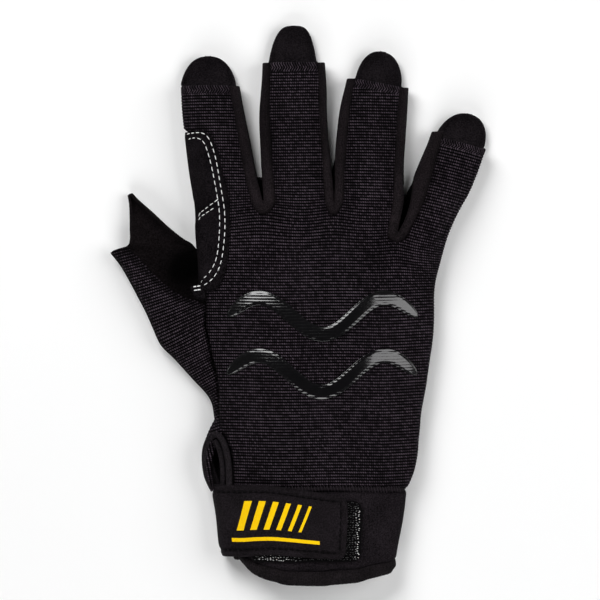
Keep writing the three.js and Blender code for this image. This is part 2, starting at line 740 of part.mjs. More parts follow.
function patchPoint(side, share, from, to) {
  const reach = (row) => 1 + read(PATCH_ROWS, "row", "edge", row);
  const split = PATCH_SPLIT.row + PATCH_SPLIT.slope * share * 0.6;
  const clear = GAP / HAND_LENGTH;
  const row = side > 0 ? mix(split + clear, to, from) : mix(split, to, from);
  const column = mix(PATCH_FOOT, reach(row), share);
  return overBack(column, row, PATCH_WALL + PATCH_CLEAR);
}

function patch(name, side, endRow) {
  const point = (share, t) => patchPoint(side, share, t, endRow);
  const shares = steps(0, 1, 7);
  const times = [0, 0.25, 0.5, 0.7, 0.85, 0.94, 1];
  const made = { point, us: shares, vs: times, flip: side < 0 };
  return named(name, sheet([made], PATCH_WALL), COLOURS.suede, 0.95);
}

// Ribbed upper side of the thumb, from its outer seam to the rim and the seam with the back
function thumbLeft(row) {
  const reach = read(THUMB_ROWS, "at", "reach", row);
  return [THUMB_ROOT * HAND_WIDTH - reach * THUMB_REACH, along(read(THUMB_ROWS, "at", "along", row))];
}

function thumbRim(row) {
  const share = read(THUMB_ROWS, "at", "rimAlong", row);
  const seam = backTop(1, share);
  const free = THUMB_ROOT * HAND_WIDTH - read(THUMB_ROWS, "at", "rim", row) * THUMB_REACH;
  const drop = THUMB_SEAM_DROP * smooth((row - 5) / 2);
  const joined = row >= THUMB_SEAM_ROW;
  const across = joined ? seam[0] - GAP : Math.min(free, seam[0] - GAP);
  const height = joined ? seam[2] - drop : SIDE_HEIGHT * read(THUMB_ROWS, "at", "height", row);
  return [across, along(share), height];
}

function thumbBackPoint(side, row) {
  const [x, y] = thumbLeft(row);
  const rim = thumbRim(row);
  const foot = THUMB_SEAM_HEIGHT + THUMB_CLEAR;
  const swell = THUMB_SWELL * read(THUMB_ROWS, "at", "swell", row) * Math.sin(Math.PI * side ** 0.8);
  return [mix(x, rim[0], side), mix(y, rim[1], side), mix(foot, rim[2], side) + swell];
}

function thumbBack() {
  const rows = [...steps(0, THUMB_SEAM_ROW, 5), ...steps(THUMB_SEAM_ROW, THUMB_LAST_ROW, 7).slice(1)];
  const skin = { point: thumbBackPoint, us: steps(0, 1, 7), vs: rows, flip: true };
  return named("thumb_back", sheet([skin], CLOTH_WALL), COLOURS.cloth, 0.9);
}

// Suede side of the thumb. Rows run from the wrist (0) to the mouth (9) and on to the tongue's tip (15)
function thumbFrontPoint(side, row) {
  const tongue = Math.max(0, row - THUMB_LAST_ROW);
  const foot = THUMB_SEAM_HEIGHT - GAP / 2;
  if (tongue > 0) {
    const tip = (column) => read(THUMB_TONGUE_ROWS, "at", column, tongue);
    const left = THUMB_ROOT * HAND_WIDTH - tip("left") * THUMB_REACH;
    const right = THUMB_ROOT * HAND_WIDTH - tip("right") * THUMB_REACH;
    const start = mix(THUMB_ROWS[0].along, THUMB_PALM_ALONG.at(-1), side);
    const reach = along(start) + tip("along") * THUMB_TONGUE;
    const leftLift = tip("leftRise") * (1 - side) ** THUMB_RIM_POWER;
    const rightLift = tip("rightRise") * side ** THUMB_RIM_POWER;
    return [mix(left, right, side), reach, foot * (leftLift + rightLift)];
  }
  const low = Math.min(THUMB_LAST_ROW - 1, Math.floor(row));
  const share = mix(THUMB_PALM_ALONG[low], THUMB_PALM_ALONG[low + 1], row - low);
  const right = palmLeft(share) - 2 * GAP;
  const end = THUMB_ROOT * HAND_WIDTH - THUMB_TONGUE_ROWS[0].right * THUMB_REACH;
  const seam = mix(right, Math.min(right, end), smooth(row - 8));
  const [x, y] = thumbLeft(THUMB_LAST_ROW - row);
  const open = THUMB_TONGUE_ROWS[0].rightRise * smooth((row - 7.5) / 1.5);
  const steep = mix(mix(3, 9, smooth(row / 2)), THUMB_RIM_POWER, smooth(row - 8));
  const lift = foot * ((1 - side) ** steep + open * side ** THUMB_RIM_POWER);
  return [mix(x, seam, side), mix(y, along(share), side), lift];
}

function thumbFront() {
  const shares = [0, 0.03, 0.1, 0.22, 0.5, 0.8, 0.92, 1];
  const skin = { point: thumbFrontPoint, us: shares, flip: true };
  const hand = { ...skin, vs: steps(0, THUMB_LAST_ROW, 9) };
  const tongue = { ...skin, vs: steps(THUMB_LAST_ROW, THUMB_TIP_ROW, 8), normal: downward };
  return named("thumb_front", sheet([hand, tongue], SUEDE_WALL), COLOURS.suede, 0.95);
}

// Cuff: goes on from the back's lower edge, round the side and the palm's lower edge to the slit
function wristRing(at) {
  if (at <= RING_PALM) return backPoint(at + 1, 0);
  return palmPoint(RING_END - at, 0);
}

function cuffPoint(at, down) {
  const p = wristRing(at);
  const middle = CUFF_MIDDLE * HAND_WIDTH;
  const narrow = 1 - CUFF_TAPER * down;
  const share = read(CUFF_EDGE, "at", "share", at);
  const depth = clamp01(at - RING_TURN);
  const shift = CUFF_CURL_SHIFT * smooth((at - RING_TURN + 2) / 2);
  const curl = shift + CUFF_CURL_BULGE * arch(depth);
  const height = p[2] * (1 - CUFF_SINK * down);
  const reach = along(0) - GAP - down * share * CUFF_HEIGHT;
  return [middle + (p[0] - middle) * narrow + curl, reach, height];
}

// Places round the ring: back, side, palm, then the turned-up edge at the slit in wider steps than the wall
function cuffPlaces(firstTurn) {
  const back = steps(0, RING_BACK, 18);
  const side = steps(RING_BACK, RING_PALM, 3).slice(1);
  const palm = [RING_PALM + 0.07, ...steps(RING_PALM + 0.4, RING_TURN, 10)];
  return [...back, ...side, ...palm, ...firstTurn];
}

function bindingStart() {
  return 1 - BINDING_HEIGHT / CUFF_HEIGHT;
}

function cuff() {
  const skin = {
    point: cuffPoint,
    us: cuffPlaces([RING_TURN + 0.42, RING_TURN + 0.7, RING_END]),
    vs: steps(0, bindingStart(), 4),
    flip: true,
  };
  return named("cuff", sheet([skin], CUFF_WALL), COLOURS.smooth, 0.85);
}

// Binding round the lower edge, thicker than the cuff on its inner side
function cuffBinding() {
  const start = bindingStart() + (3 * GAP) / CUFF_HEIGHT / 0.7;
  const skin = {
    point: cuffPoint,
    us: cuffPlaces([RING_TURN + 0.74, RING_END]),
    vs: [start, mix(start, 1, 0.5), 1],
    flip: true,
  };
  return named("cuff_binding", sheet([skin], BINDING_WALL), COLOURS.smooth, 0.9);
}

// Top of the cuff over a place across the wrist, and the place round the ring it belongs to
function ringPlace(across, down) {
  let low = 0;
  let high = RING_BACK;
  for (let i = 0; i < 40; i++) {
    const middle = (low + high) / 2;
    if (cuffPoint(middle, down)[0] < across) low = middle;
    else high = middle;
  }
  return (low + high) / 2;
}

function cuffTop(across, reach) {
  const down = clamp01((along(0) - reach) / CUFF_HEIGHT);
  return cuffPoint(ringPlace(across, down), down)[2];
}

// Strap: from the thumb side of the palm up round the slit and over the back of the wrist
function strapLift() {
  return 2 * GAP + HOOK_WALL + STRAP_WALL;
}

function bezier(a, b, c, d, t) {
  const s = 1 - t;
  return s * s * s * a + 3 * s * s * t * b + 3 * s * t * t * c + t * t * t * d;
}

// Share of the cuff's breadth that is left at a distance along it
function cuffTaper(reach) {
  return 1 - (CUFF_TAPER * (along(0) - reach)) / CUFF_HEIGHT;
}

// Side of the strap: up from its foot, outside the palm's curl and the slit's rolls
function strapSide(t, reach) {
  const taper = cuffTaper(reach);
  const start = STRAP_LEFT * HAND_WIDTH * taper + STRAP_START;
  const top = cuffTop(start, reach) + strapLift();
  const slope = (cuffTop(start + 1, reach) - cuffTop(start, reach)) * STRAP_BEND.inward;
  const side = STRAP_SIDE * HAND_WIDTH * taper;
  return [
    bezier(side + STRAP_BEND.foot, side - STRAP_BEND.outward, start - STRAP_BEND.inward, start, t),
    bezier(STRAP_FOOT, top * STRAP_BEND.rise, top - slope * STRAP_BEND.ease, top, t),
  ];
}

// Rounded corners: how far the strap's edge draws in near its free end
function cornerCut(fromEnd, radius) {
  if (fromEnd >= radius) return 0;
  return radius - Math.sqrt(Math.max(0, radius ** 2 - (radius - fromEnd) ** 2));
}

function strapPoint(at, across) {
  const width = STRAP_WIDTH;
  const start = STRAP_LEFT * HAND_WIDTH;
  const fromEnd = (1 - clamp01(at)) * STRAP_REACH;
  const cut = at > 0 ? cornerCut(fromEnd, STRAP_CORNER) : 0;
  const slack = STRAP_DROP * smooth(at) - STRAP_SAG * Math.sin(Math.PI * clamp01(at));
  const middle = along(0) - STRAP_TOP - width / 2 - slack;
  const reach = middle - (across - 0.5) * 2 * (width / 2 - cut);
  if (at <= 0) {
    const [x, z] = strapSide(1 + at, reach);
    return [x, reach, z];
  }
  const x = mix(start * cuffTaper(reach), start + STRAP_REACH, at) + STRAP_START;
  return [x, reach, cuffTop(x, reach) + strapLift()];
}

function strap() {
  const places = [...steps(-1, 0, 6), ...steps(0, 0.92, 7).slice(1), 0.95, 0.975, 0.992, 1];
  const skin = { point: strapPoint, us: places, vs: steps(0, 1, 3), flip: true };
  return named("strap", sheet([skin], STRAP_WALL), COLOURS.smooth, 0.8);
}

// Hook tape under the strap, showing past its free end and along its lower edge
function hookPoint(at, across) {
  const end = STRAP_LEFT * HAND_WIDTH + STRAP_START + STRAP_REACH + HOOK_SHOW;
  const fromEnd = (1 - at) * HOOK_REACH;
  const cut = cornerCut(fromEnd, STRAP_CORNER);
  const low = along(0) - STRAP_TOP - STRAP_WIDTH - HOOK_BELOW;
  const reach = low + cut + (1 - across) * (HOOK_WIDTH - 2 * cut);
  const x = end - fromEnd;
  return [x, reach, cuffTop(x, reach) + GAP + HOOK_WALL];
}

function hookTape() {
  const places = [...steps(0, 0.9, 7), 0.94, 0.97, 0.992, 1];
  const skin = { point: hookPoint, us: places, vs: steps(0, 1, 3), flip: true };
  return named("hook_tape", sheet([skin], HOOK_WALL), COLOURS.tape, 0.7);
}

// Rolled bindings of the slit, round rods along its edges
function rod(name, points, radius) {
  const path = new THREE.CatmullRomCurve3(points.map((p) => new THREE.Vector3(...p)));
  const outline = new THREE.Shape();
  outline.absarc(0, 0, radius, 0, 2 * Math.PI, false);
  const options = { steps: 12, curveSegments: 4, extrudePath: path, bevelEnabled: false };
  return named(name, new THREE.ExtrudeGeometry(outline, options), COLOURS.smooth, 0.9);
}

function slitRoll(name, top, sideways, sink) {
  const points = steps(top, ROLL_FOOT, 5).map((row) => {
    const p = backTop(1, row);
    return [p[0] - ROLL_RADIUS - GAP - sideways, p[1], p[2] - sink];
  });
  return rod(name, points, ROLL_RADIUS);
}

function palmRoll() {
  const points = steps(PALM_ROLL_TOP, ROLL_FOOT, 5).map((row) => {
    const p = palmPoint(0, row);
    return [p[0], p[1], p[2] + ROLL_RADIUS + GAP];
  });
  return rod("slit_roll_palm", points, ROLL_RADIUS);
}

// Raised print on the back of the hand: two smooth waves
function columnAt(across, row) {
  const lines = [0, 1, 2, 3, 4, 5, 6, 7].map((line) => backLineAcross(line, row));
  const line = Math.max(0, Math.min(6, lines.findIndex((x) => x > across) - 1));
  return 1 + line + (across - lines[line]) / (lines[line + 1] - lines[line]);
}

function overHand(across, reach, lift) {
  const row = reach / HAND_LENGTH + 0.5;
  return overBack(columnAt(across, row), row, lift);
}

function wavePoint(wave, at, side) {
  const angle = 2 * Math.PI * WAVE_TURNS * at;
  const span = (WAVE_RIGHT - WAVE_LEFT) * HAND_WIDTH;
  const slope = (Math.cos(angle) * WAVE_RISE * 2 * Math.PI * WAVE_TURNS) / span;
  const bend = 1 / Math.hypot(1, slope);
  const fade = Math.sqrt(Math.max(0.02, 1 - Math.abs(2 * at - 1) ** 10));
  const offset = (side - 0.5) * WAVE_WIDTH * fade;
  const x = mix(WAVE_LEFT, WAVE_RIGHT, at) * HAND_WIDTH - slope * bend * offset;
  const y = along(wave.middle) + WAVE_RISE * Math.sin(angle) + bend * offset;
  return overHand(x, y, GAP + PRINT_WALL);
}

function printWave(wave) {
  const point = (at, side) => wavePoint(wave, at, side);
  const skin = { point, us: steps(0, 1, WAVE_SIDES), vs: steps(0, 1, 2) };
  return named(wave.name, sheet([skin], PRINT_WALL), COLOURS.gloss, 0.25);
}

const glove = new THREE.Group();
glove.add(backPanel());
glove.add(palmPanel());
FORKS.forEach((fork) => glove.add(fourchette(fork)));
glove.add(patch("patch_upper", 1, 1.6));
glove.add(patch("patch_lower", -1, 0.685));
glove.add(thumbBack());
glove.add(thumbFront());
glove.add(slitRoll("slit_roll_back", SLIT_TOP, 0, ROLL_SINK));
glove.add(slitRoll("slit_roll_inner", INNER_ROLL_TOP, INNER_ROLL_SHIFT, INNER_ROLL_SINK));
glove.add(palmRoll());
glove.add(cuff());
glove.add(cuffBinding());
glove.add(hookTape());
glove.add(strap());
WAVE_LINES.forEach((wave) => glove.add(printWave(wave)));

export default glove;
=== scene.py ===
"""Looks of the climbing glove: ribbed knit, suede, stitching, cuff, strap, light and camera.

The shapes follow the same named sizes as the solids. Sizes are in millimetres until a mesh is made.
"""

import math

import bpy
import numpy as np
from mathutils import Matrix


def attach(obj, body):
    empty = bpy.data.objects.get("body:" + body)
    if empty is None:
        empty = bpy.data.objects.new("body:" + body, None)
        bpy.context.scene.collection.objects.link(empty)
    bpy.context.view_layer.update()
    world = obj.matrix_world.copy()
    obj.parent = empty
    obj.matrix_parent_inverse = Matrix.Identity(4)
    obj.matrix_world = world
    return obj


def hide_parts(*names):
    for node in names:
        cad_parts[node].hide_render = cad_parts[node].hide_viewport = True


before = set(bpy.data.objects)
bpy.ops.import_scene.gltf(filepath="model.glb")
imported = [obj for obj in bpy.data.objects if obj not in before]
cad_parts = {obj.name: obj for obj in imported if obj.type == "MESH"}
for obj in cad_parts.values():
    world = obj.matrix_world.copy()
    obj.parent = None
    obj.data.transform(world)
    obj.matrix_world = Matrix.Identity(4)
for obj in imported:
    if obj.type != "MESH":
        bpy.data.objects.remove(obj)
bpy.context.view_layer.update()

PX = 0.41  # millimetres to a pixel of the photograph
PIXEL_MIDDLE = 315  # the hand's middle in the photograph, in pixels
PIXEL_WRIST = 489  # the wrist seam there
PIXEL_HAND = 288  # from the wrist seam to the forks

# Driving sizes
HAND_WIDTH = 98.4
HAND_LENGTH = 118
PALM_HEIGHT = 24
FINGER_HEIGHT = 15.5
TONGUE_LENGTH = 12.6
THUMB_REACH = 36.5
THUMB_SWELL = 4.6
THUMB_TONGUE = 23.4
CUFF_HEIGHT = 39.6
BINDING_HEIGHT = 4.6
STRAP_WIDTH = 23.6
STRAP_REACH = 42
HOOK_WIDTH = 24
HOOK_REACH = 44
HOOK_SHOW = 6.2
WAVE_WIDTH = 5.6
WAVE_RISE = 7.5
CLOTH_WALL = 1.2
SUEDE_WALL = 1.2
FOURCHETTE_WALL = 1
PATCH_WALL = 1
CUFF_WALL = 2
BINDING_WALL = 3
STRAP_WALL = 1.8
HOOK_WALL = 1
PRINT_WALL = 0.6
GAP = 0.3
SEAM_HEIGHT = 3
SIDE_HEIGHT = 9.5
THUMB_SEAM_HEIGHT = 4.2
CURL_HEIGHT = 6.5
SIDE_BULGE = 1.8
FOURCHETTE_BULGE = 1.3
PINKY_BASE = 0.889
PALM_FORK = 1.08
PALM_PINKY_BASE = 0.945
THUMB_TOP = 0.66
FORK_BLEND = 0.24
FORK_TURN = 0.1
BAND_END = 0.5
BAND_DIVE = 0.28
PATCH_SPLIT_ROW = 0.935
PATCH_SPLIT_SLOPE = 0.06
STRAP_TOP = 0.6
STRAP_LEFT = -0.338
STRAP_SIDE = -0.4175
STRAP_INSET = 4
STRAP_FOOT = 1.6
STRAP_CORNER = 3.6
STRAP_DROP = 3.6
STRAP_FLARE = 2.0
STRAP_FULL = 0.6
STRAP_GROW = 1.7
STRAP_SAG = 0.5
STRAP_LIFT = 2 * GAP + HOOK_WALL + STRAP_WALL
STRAP_SEAM = 1.9
HOOK_BELOW = 5.2
WAVE_LEFT = -0.36
WAVE_RIGHT = 0.42
WAVE_TURNS = 1.5
WAVE_PLACES = {"upper": 0.6, "lower": 0.4}
WEB_RISE = 1.2

# Fine structure: ribs, the loops along them, seams and hems
RIB = 1.23
LOOP = 0.92
RIB_DEPTH = 0.26
THUMB_PITCH = 1.22
SEAM_GROOVE = 0.5
HEM = 2.7

# Marks of the strap: slanted bars from left to right, and a line below them
BARS = ((-4.5, -1.3), (1.6, 4.4), (7.3, 9.7), (12.6, 14.6), (17.5, 19.1), (22.0, 23.2))
BAR_SLOPE = 0.45
BAR_TOP, BAR_BOTTOM = 5.0, 15.0
LINE_TOP, LINE_BOTTOM = 17.6, 18.9
LINE_LEFT, LINE_RIGHT = -7.0, 31.0

# Studio
SKY_WALLS = 1.6
SKY_CEILING = 0.45
FLOOR_SIZE = 3.0
FLOOR_GAP = 0.0004
CAMERA_PLACE = (-0.00615, 0.0184, 3.43)


def table(names, *rows):
    return {name: np.array([row[i] for row in rows], float) for i, name in enumerate(names.split())}


BACK_OUTLINE = table(
    "along left right crown edge",
    (0, -0.342, 0.383, 0.84, 1.2),
    (0.05, -0.344, 0.408, 0.87, 1.22),
    (0.115, -0.352, 0.425, 0.91, 1.24),
    (0.165, -0.371, 0.432, 0.93, 1.24),
    (0.21, -0.393, 0.44, 0.95, 1.22),
    (0.274, -0.4, 0.448, 0.97, 1.25),
    (0.378, -0.408, 0.469, 1, 1.36),
    (0.5, -0.442, 0.4875, 1, 1.42),
    (0.615, -0.471, 0.496, 0.98, 1.34),
    (0.708, -0.483, 0.502, 0.94, 1.1),
    (0.788, -0.4875, 0.525, 0.89, 1),
    (0.889, -0.496, 0.5625, 0.82, 1),
    (1, -0.508, 0.61, 0.78, 1),
)
PALM_OUTLINE = table(
    "along left curl",
    (0, -0.405, 1),
    (0.08, -0.44, 1),
    (0.14, -0.443, 1),
    (0.2, -0.415, 0.9),
    (0.27, -0.3875, 0),
    (0.35, -0.379, 0),
    (0.5, -0.421, 0),
    (0.65, -0.454, 0),
    (0.75, -0.467, 0),
    (0.82, -0.477, 0),
    (1, -0.501, 0),
)
INDEX_ROWS = table(
    "at left right palmRight",
    (0, -0.508, -0.2625, -0.248),
    (0.25, -0.525, -0.29, -0.271),
    (0.5, -0.54, -0.31, -0.29),
    (0.75, -0.55, -0.326, -0.308),
    (1, -0.558, -0.35, -0.329),
)
MIDDLE_ROWS = table(
    "at left right palmLeft palmRight",
    (0, -0.175, 0.046, -0.208, 0.042),
    (0.25, -0.183, 0.0375, -0.217, 0.035),
    (0.5, -0.19, 0.029, -0.217, 0.033),
    (0.75, -0.192, 0.025, -0.208, 0.029),
    (1, -0.194, 0.015, -0.198, 0.018),
)
RING_ROWS = table(
    "at left right palmLeft palmRight",
    (0, 0.108, 0.329, 0.067, 0.35),
    (0.25, 0.117, 0.335, 0.092, 0.354),
    (0.5, 0.127, 0.342, 0.108, 0.3625),
    (0.75, 0.142, 0.353, 0.127, 0.373),
    (1, 0.158, 0.36, 0.154, 0.374),
)
PINKY_ROWS = table(
    "at left right palmLeft",
    (0, 0.3875, 0.5625, 0.379),
    (0.25, 0.433, 0.598, 0.4125),
    (0.5, 0.469, 0.644, 0.4375),
    (0.75, 0.496, 0.681, 0.4625),
    (1, 0.521, 0.71, 0.49),
)
FINGER_ROWS = [INDEX_ROWS, MIDDLE_ROWS, RING_ROWS, PINKY_ROWS]
FINGERS = table(
    "length slant lean tongue taper blunt insetLeft insetRight",
    (46.7, 0, -0.02, 1, 1.55, 0.41, -2.1, 0),
    (56.4, 0, 0.02, 1.24, 1.15, 0.3, 0.3, 1.2),
    (48, 9.5, 0.14, 1.06, 1.8, 0.43, 1.3, 1.4),
    (36.3, 13.7, 0.4, 0.98, 1.8, 0.42, 0.6, -0.9),
)
FINGER_SIDES = [0, 0.2244, 0.3031, 0.5118, 0.5669, 0.7598, 0.8346, 1]
FORK_DIPS = {1: 0.036, 3: 0.04, 5: 0.022}
THUMB_ROOT = -0.479
THUMB_ROWS = table(
    "at reach along rim rimAlong height swell",
    (0, 1, 0.819, 0.82, 0.84, 0.72, 0.3),
    (1, 0.888, 0.771, 0.652, 0.788, 0.95, 0.55),
    (2, 0.753, 0.698, 0.449, 0.722, 1.12, 0.8),
    (3, 0.629, 0.622, 0.202, 0.667, 1.22, 1),
    (4, 0.539, 0.556, 0.012, 0.642, 1.28, 1),
    (5, 0.449, 0.5, 0, 0.576, 1, 0.9),
    (6, 0.281, 0.448, 0, 0.507, 1, 0.7),
    (7, 0.09, 0.382, 0, 0.417, 1, 0.45),
    (8, -0.112, 0.309, 0, 0.326, 1, 0.22),
    (9, -0.169, 0.236, 0, 0.236, 1, 0.1),
)
THUMB_SEAM_ROW = 4
THUMB_LAST_ROW = 9
THUMB_PALM_ALONG = np.array([0.245, 0.32, 0.39, 0.46, 0.53, 0.6, 0.66, 0.715, 0.77, 0.828])
THUMB_TONGUE_ROWS = table(
    "at left right along leftRise rightRise",
    (0, 1, 0.035, 0, 1, 0.6),
    (1, 0.82, 0.1, 0.13, 0.9, 1),
    (2, 0.781, 0.2, 0.23, 0.8, 1.4),
    (3, 0.785, 0.365, 0.44, 0.8, 1.7),
    (4, 0.797, 0.53, 0.67, 0.9, 1.7),
    (5, 0.812, 0.69, 0.88, 0.8, 1.2),
    (6, 0.827, 0.765, 1, 0.7, 0.8),
)
PATCH_ROWS = table(
    "row edge",
    (0.68, 0.1),
    (0.7, 0.27),
    (0.73, 0.37),
    (0.78, 0.46),
    (0.86, 0.525),
    (1, 0.535),
    (1.3, 0.51),
    (1.42, 0.49),
    (1.5, 0.45),
    (1.56, 0.39),
    (1.6, 0.3),
)
CUFF_EDGE = table(
    "at share",
    (0, 0.725),
    (0.35, 0.85),
    (1, 0.925),
    (2, 0.955),
    (3.5, 0.965),
    (5.5, 0.92),
    (7, 0.85),
    (8, 0.8),
    (9, 0.84),
    (11, 0.88),
    (13, 0.8),
    (14.3, 0.71),
    (16, 0.71),
)
CUFF_TAPER = 0.095
CUFF_SINK = 0.04
CUFF_MIDDLE = 0.005
CUFF_LEAN = 1.5


# Numbers and curves
def mix(a, b, t):
    return a + (b - a) * t


def clamp(t, low=0.0, high=1.0):
    return np.clip(t, low, high)


def smooth(t):
    s = clamp(t)
    return s * s * (3 - 2 * s)


def arch(t):
    return 4 * t * (1 - t)


def bell(distance, width):
    return np.exp(-((distance / width) ** 2))


def stack(*parts):
    return np.stack(parts, -1)


def arrays(*values):
    """The values as separate arrays of one shape."""
    return [np.array(value, float) for value in np.broadcast_arrays(*values)]


def unit(vectors):
    return vectors / np.maximum(np.linalg.norm(vectors, axis=-1, keepdims=True), 1e-9)


def lengths_along(points):
    """Distance of each point from the first, measured along the line."""
    return np.concatenate([[0], np.cumsum(np.linalg.norm(np.diff(points, axis=0), axis=1))])


def curve(rows, key, column, value):
    """Smooth curve through one column of a table, read at values of its key column."""
    xs, ys = rows[key], rows[column]
    value = np.asarray(value, float)
    last = len(xs) - 1
    i = clamp(np.searchsorted(xs, value, side="right") - 1, 0, last - 1).astype(int)
    a, b = np.maximum(np.arange(last + 1) - 1, 0), np.minimum(np.arange(last + 1) + 1, last)
    slopes = (ys[b] - ys[a]) / (xs[b] - xs[a])
    span = xs[i + 1] - xs[i]
    t = clamp((value - xs[i]) / span)
    t2, t3 = t * t, t * t * t
    return (
        (2 * t3 - 3 * t2 + 1) * ys[i]
        + (t3 - 2 * t2 + t) * slopes[i] * span
        + (3 * t2 - 2 * t3) * ys[i + 1]
        + (t3 - t2) * slopes[i + 1] * span
    )


def along(share):
    return (share - 0.5) * HAND_LENGTH


def at_pixel(x, y):
    """Place on the model under a pixel of the photograph."""
    x, y = np.asarray(x, float), np.asarray(y, float)
    return (x - PIXEL_MIDDLE) * PX, along((PIXEL_WRIST - y) / PIXEL_HAND)


def spread(start, end, step):
    """Even values from start to end, about a step apart."""
    return np.linspace(start, end, max(2, int(round(abs(end - start) / step)) + 1))


# Back of the hand
# Columns: 0 left seam, 1 to 8 the finger sides, 9 right seam. Rows: 0 wrist, 1 forks, 2 cut edges
def base_of(line):
    return PINKY_BASE if line >= 6 else 1


def patch_room(row):
    return (PATCH_WALL + GAP) * smooth((row - 0.56) / 0.06) * smooth((1.64 - row) / 0.03)


def hand_side(row, side):
    return HAND_WIDTH * curve(BACK_OUTLINE, "along", side, row)


def back_line_across(line, row):
    row = np.asarray(row, float)
    base = base_of(line)
    rows = FINGER_ROWS[line // 2]
    side = "right" if line % 2 else "left"
    inset = {0: SIDE_BULGE * smooth((row - 0.6) / 0.1) + patch_room(row), 7: -SIDE_BULGE}.get(line, 0)
    upper = HAND_WIDTH * curve(rows, "at", side, (row - base) / (2 - base))
    if line == 0:
        lower = hand_side(row, "left")
    else:
        low = np.minimum(row, PINKY_BASE)
        lower = mix(hand_side(low, "left"), hand_side(low, "right"), FINGER_SIDES[line])
        lower = mix(lower, HAND_WIDTH * rows[side][0], clamp((row - PINKY_BASE) / (1 - PINKY_BASE)))
    return np.where(row > base, upper, lower) + inset


def side_length(line):
    k = line // 2
    ends = FINGER_ROWS[k]["right"][-1] - FINGER_ROWS[k]["left"][-1]
    slant = math.tan(math.radians(FINGERS["slant"][k])) * ends * HAND_WIDTH
    return FINGERS["length"][k] + (-slant if line % 2 else slant) / 2


def back_line_along(line, row):
    base = base_of(line)
    return np.where(row <= base, along(row), along(base) + (row - base) / (2 - base) * side_length(line))


def split(column):
    line = clamp(np.floor(column - 1), 0, 6).astype(int)
    return line, column - 1 - line


def by_line(function, row):
    return np.stack([function(k, row) for k in range(8)])


def pick(values, line):
    """Each place's own one of the values that are stacked by line."""
    return np.take_along_axis(values, line[None], 0)[0]


def between(function, column, row):
    """A line function read between two column lines."""
    line, share = split(column)
    values = by_line(function, row)
    return mix(pick(values, line), pick(values, line + 1), share)


def fork_dip(line, share, row):
    dip = np.select([line == k for k in FORK_DIPS], list(FORK_DIPS.values()), 0.0)
    end = np.where(line == 5, PINKY_BASE, 1.0)
    return dip * HAND_LENGTH * arch(share) * bell(end - row, 0.06)


def dome_height(across, row):
    low = np.minimum(row, 1)
    left = hand_side(low, "left")
    right = hand_side(np.minimum(row, PINKY_BASE), "right")
    side = clamp((across - left) / (right - left))
    edge = SIDE_HEIGHT * mix(curve(BACK_OUTLINE, "along", "edge", low), 1, side)
    crown = PALM_HEIGHT * curve(BACK_OUTLINE, "along", "crown", low)
    return edge + (crown - edge) * (1 - np.abs(2 * side - 1) ** 2.6)


def finger_height(column, row):
    line, share = split(column)
    crown = FINGER_HEIGHT * mix(1.1, 0.94, clamp(row - 1))
    finger = SIDE_HEIGHT + (crown - SIDE_HEIGHT) * (1 - np.abs(2 * share - 1) ** 2.3)
    return np.where(line % 2 == 1, SIDE_HEIGHT - 1.2 * arch(share), finger)


def back_top(column, row):
    column, row = arrays(column, row)
    line, share = split(column)
    across = between(back_line_across, column, row)
    reach = between(back_line_along, column, row) - fork_dip(line, share, row)
    fork = mix(1, PINKY_BASE, clamp(column - 5))
    parted = smooth((row - (fork - FORK_BLEND)) / FORK_BLEND)
    return stack(across, reach, mix(dome_height(across, row), finger_height(column, row), parted))


def back_point(column, row):
    column, row = arrays(column, row)
    p = back_top(clamp(column, 1, 8), row)
    depth = np.where(column < 1, 1 - column, np.maximum(column - 8, 0))
    outward = np.where(column < 1, -1, 1)
    p[..., 0] += outward * SIDE_BULGE * arch(depth)
    p[..., 2] = mix(p[..., 2], SEAM_HEIGHT + GAP / 2, depth)
    return p


# Palm: columns as on the back, rows 2 to 3 are the finger tongues
def palm_base_of(line):
    return PALM_PINKY_BASE if line >= 6 else 1


def palm_left(share):
    return HAND_WIDTH * curve(PALM_OUTLINE, "along", "left", share)


def back_row(line, distance):
    base = base_of(line)
    past = base + (distance - along(base)) / side_length(line) * (2 - base)
    return np.where(distance <= along(base), distance / HAND_LENGTH + 0.5, past)


def palm_line_along(line, row):
    base = palm_base_of(line)
    tip = along(base_of(line)) + side_length(line)
    past = mix(along(base * PALM_FORK), tip, (row - base) / (2 - base))
    return np.where(row <= base, along(row * PALM_FORK), past)


def palm_right(row):
    return back_line_across(7, back_row(7, palm_line_along(7, row)))


def palm_index_side(row):
    own = palm_left(np.minimum(row * PALM_FORK, 1))
    under = back_line_across(0, back_row(0, palm_line_along(0, row)))
    return mix(own, under, smooth((row * PALM_FORK - 0.74) / 0.08))


def palm_line_across(line, row):
    if line == 7:
        return palm_right(row)
    if line == 0:
        return palm_index_side(row)
    base = palm_base_of(line)
    side = "palmRight" if line % 2 else "palmLeft"
    rows = FINGER_ROWS[line // 2]
    low = np.minimum(row, PALM_PINKY_BASE)
    across = mix(palm_index_side(low), palm_right(low), FINGER_SIDES[line])
    across = mix(across, HAND_WIDTH * rows[side][0], smooth((row - 0.78) / 0.22))
    upper = HAND_WIDTH * curve(rows, "at", side, (row - base) / (2 - base))
    return np.where(row > base, upper, across)


def palm_lift(column, row):
    line, share = split(column)
    fork = np.where(line >= 5, PALM_PINKY_BASE, 1)
    parted = smooth((row - (fork - 0.08)) / 0.08)
    in_finger = np.where(line % 2 == 1, 1, np.abs(2 * share - 1) ** 7)
    left = np.where(column < 2, clamp(2 - column) ** 16 * smooth((row * PALM_FORK - 0.72) / 0.1), 0)
    right = np.where(column > 7, clamp(column - 7) ** 16, 0)
    return np.maximum(np.maximum(in_finger * parted, left), right)


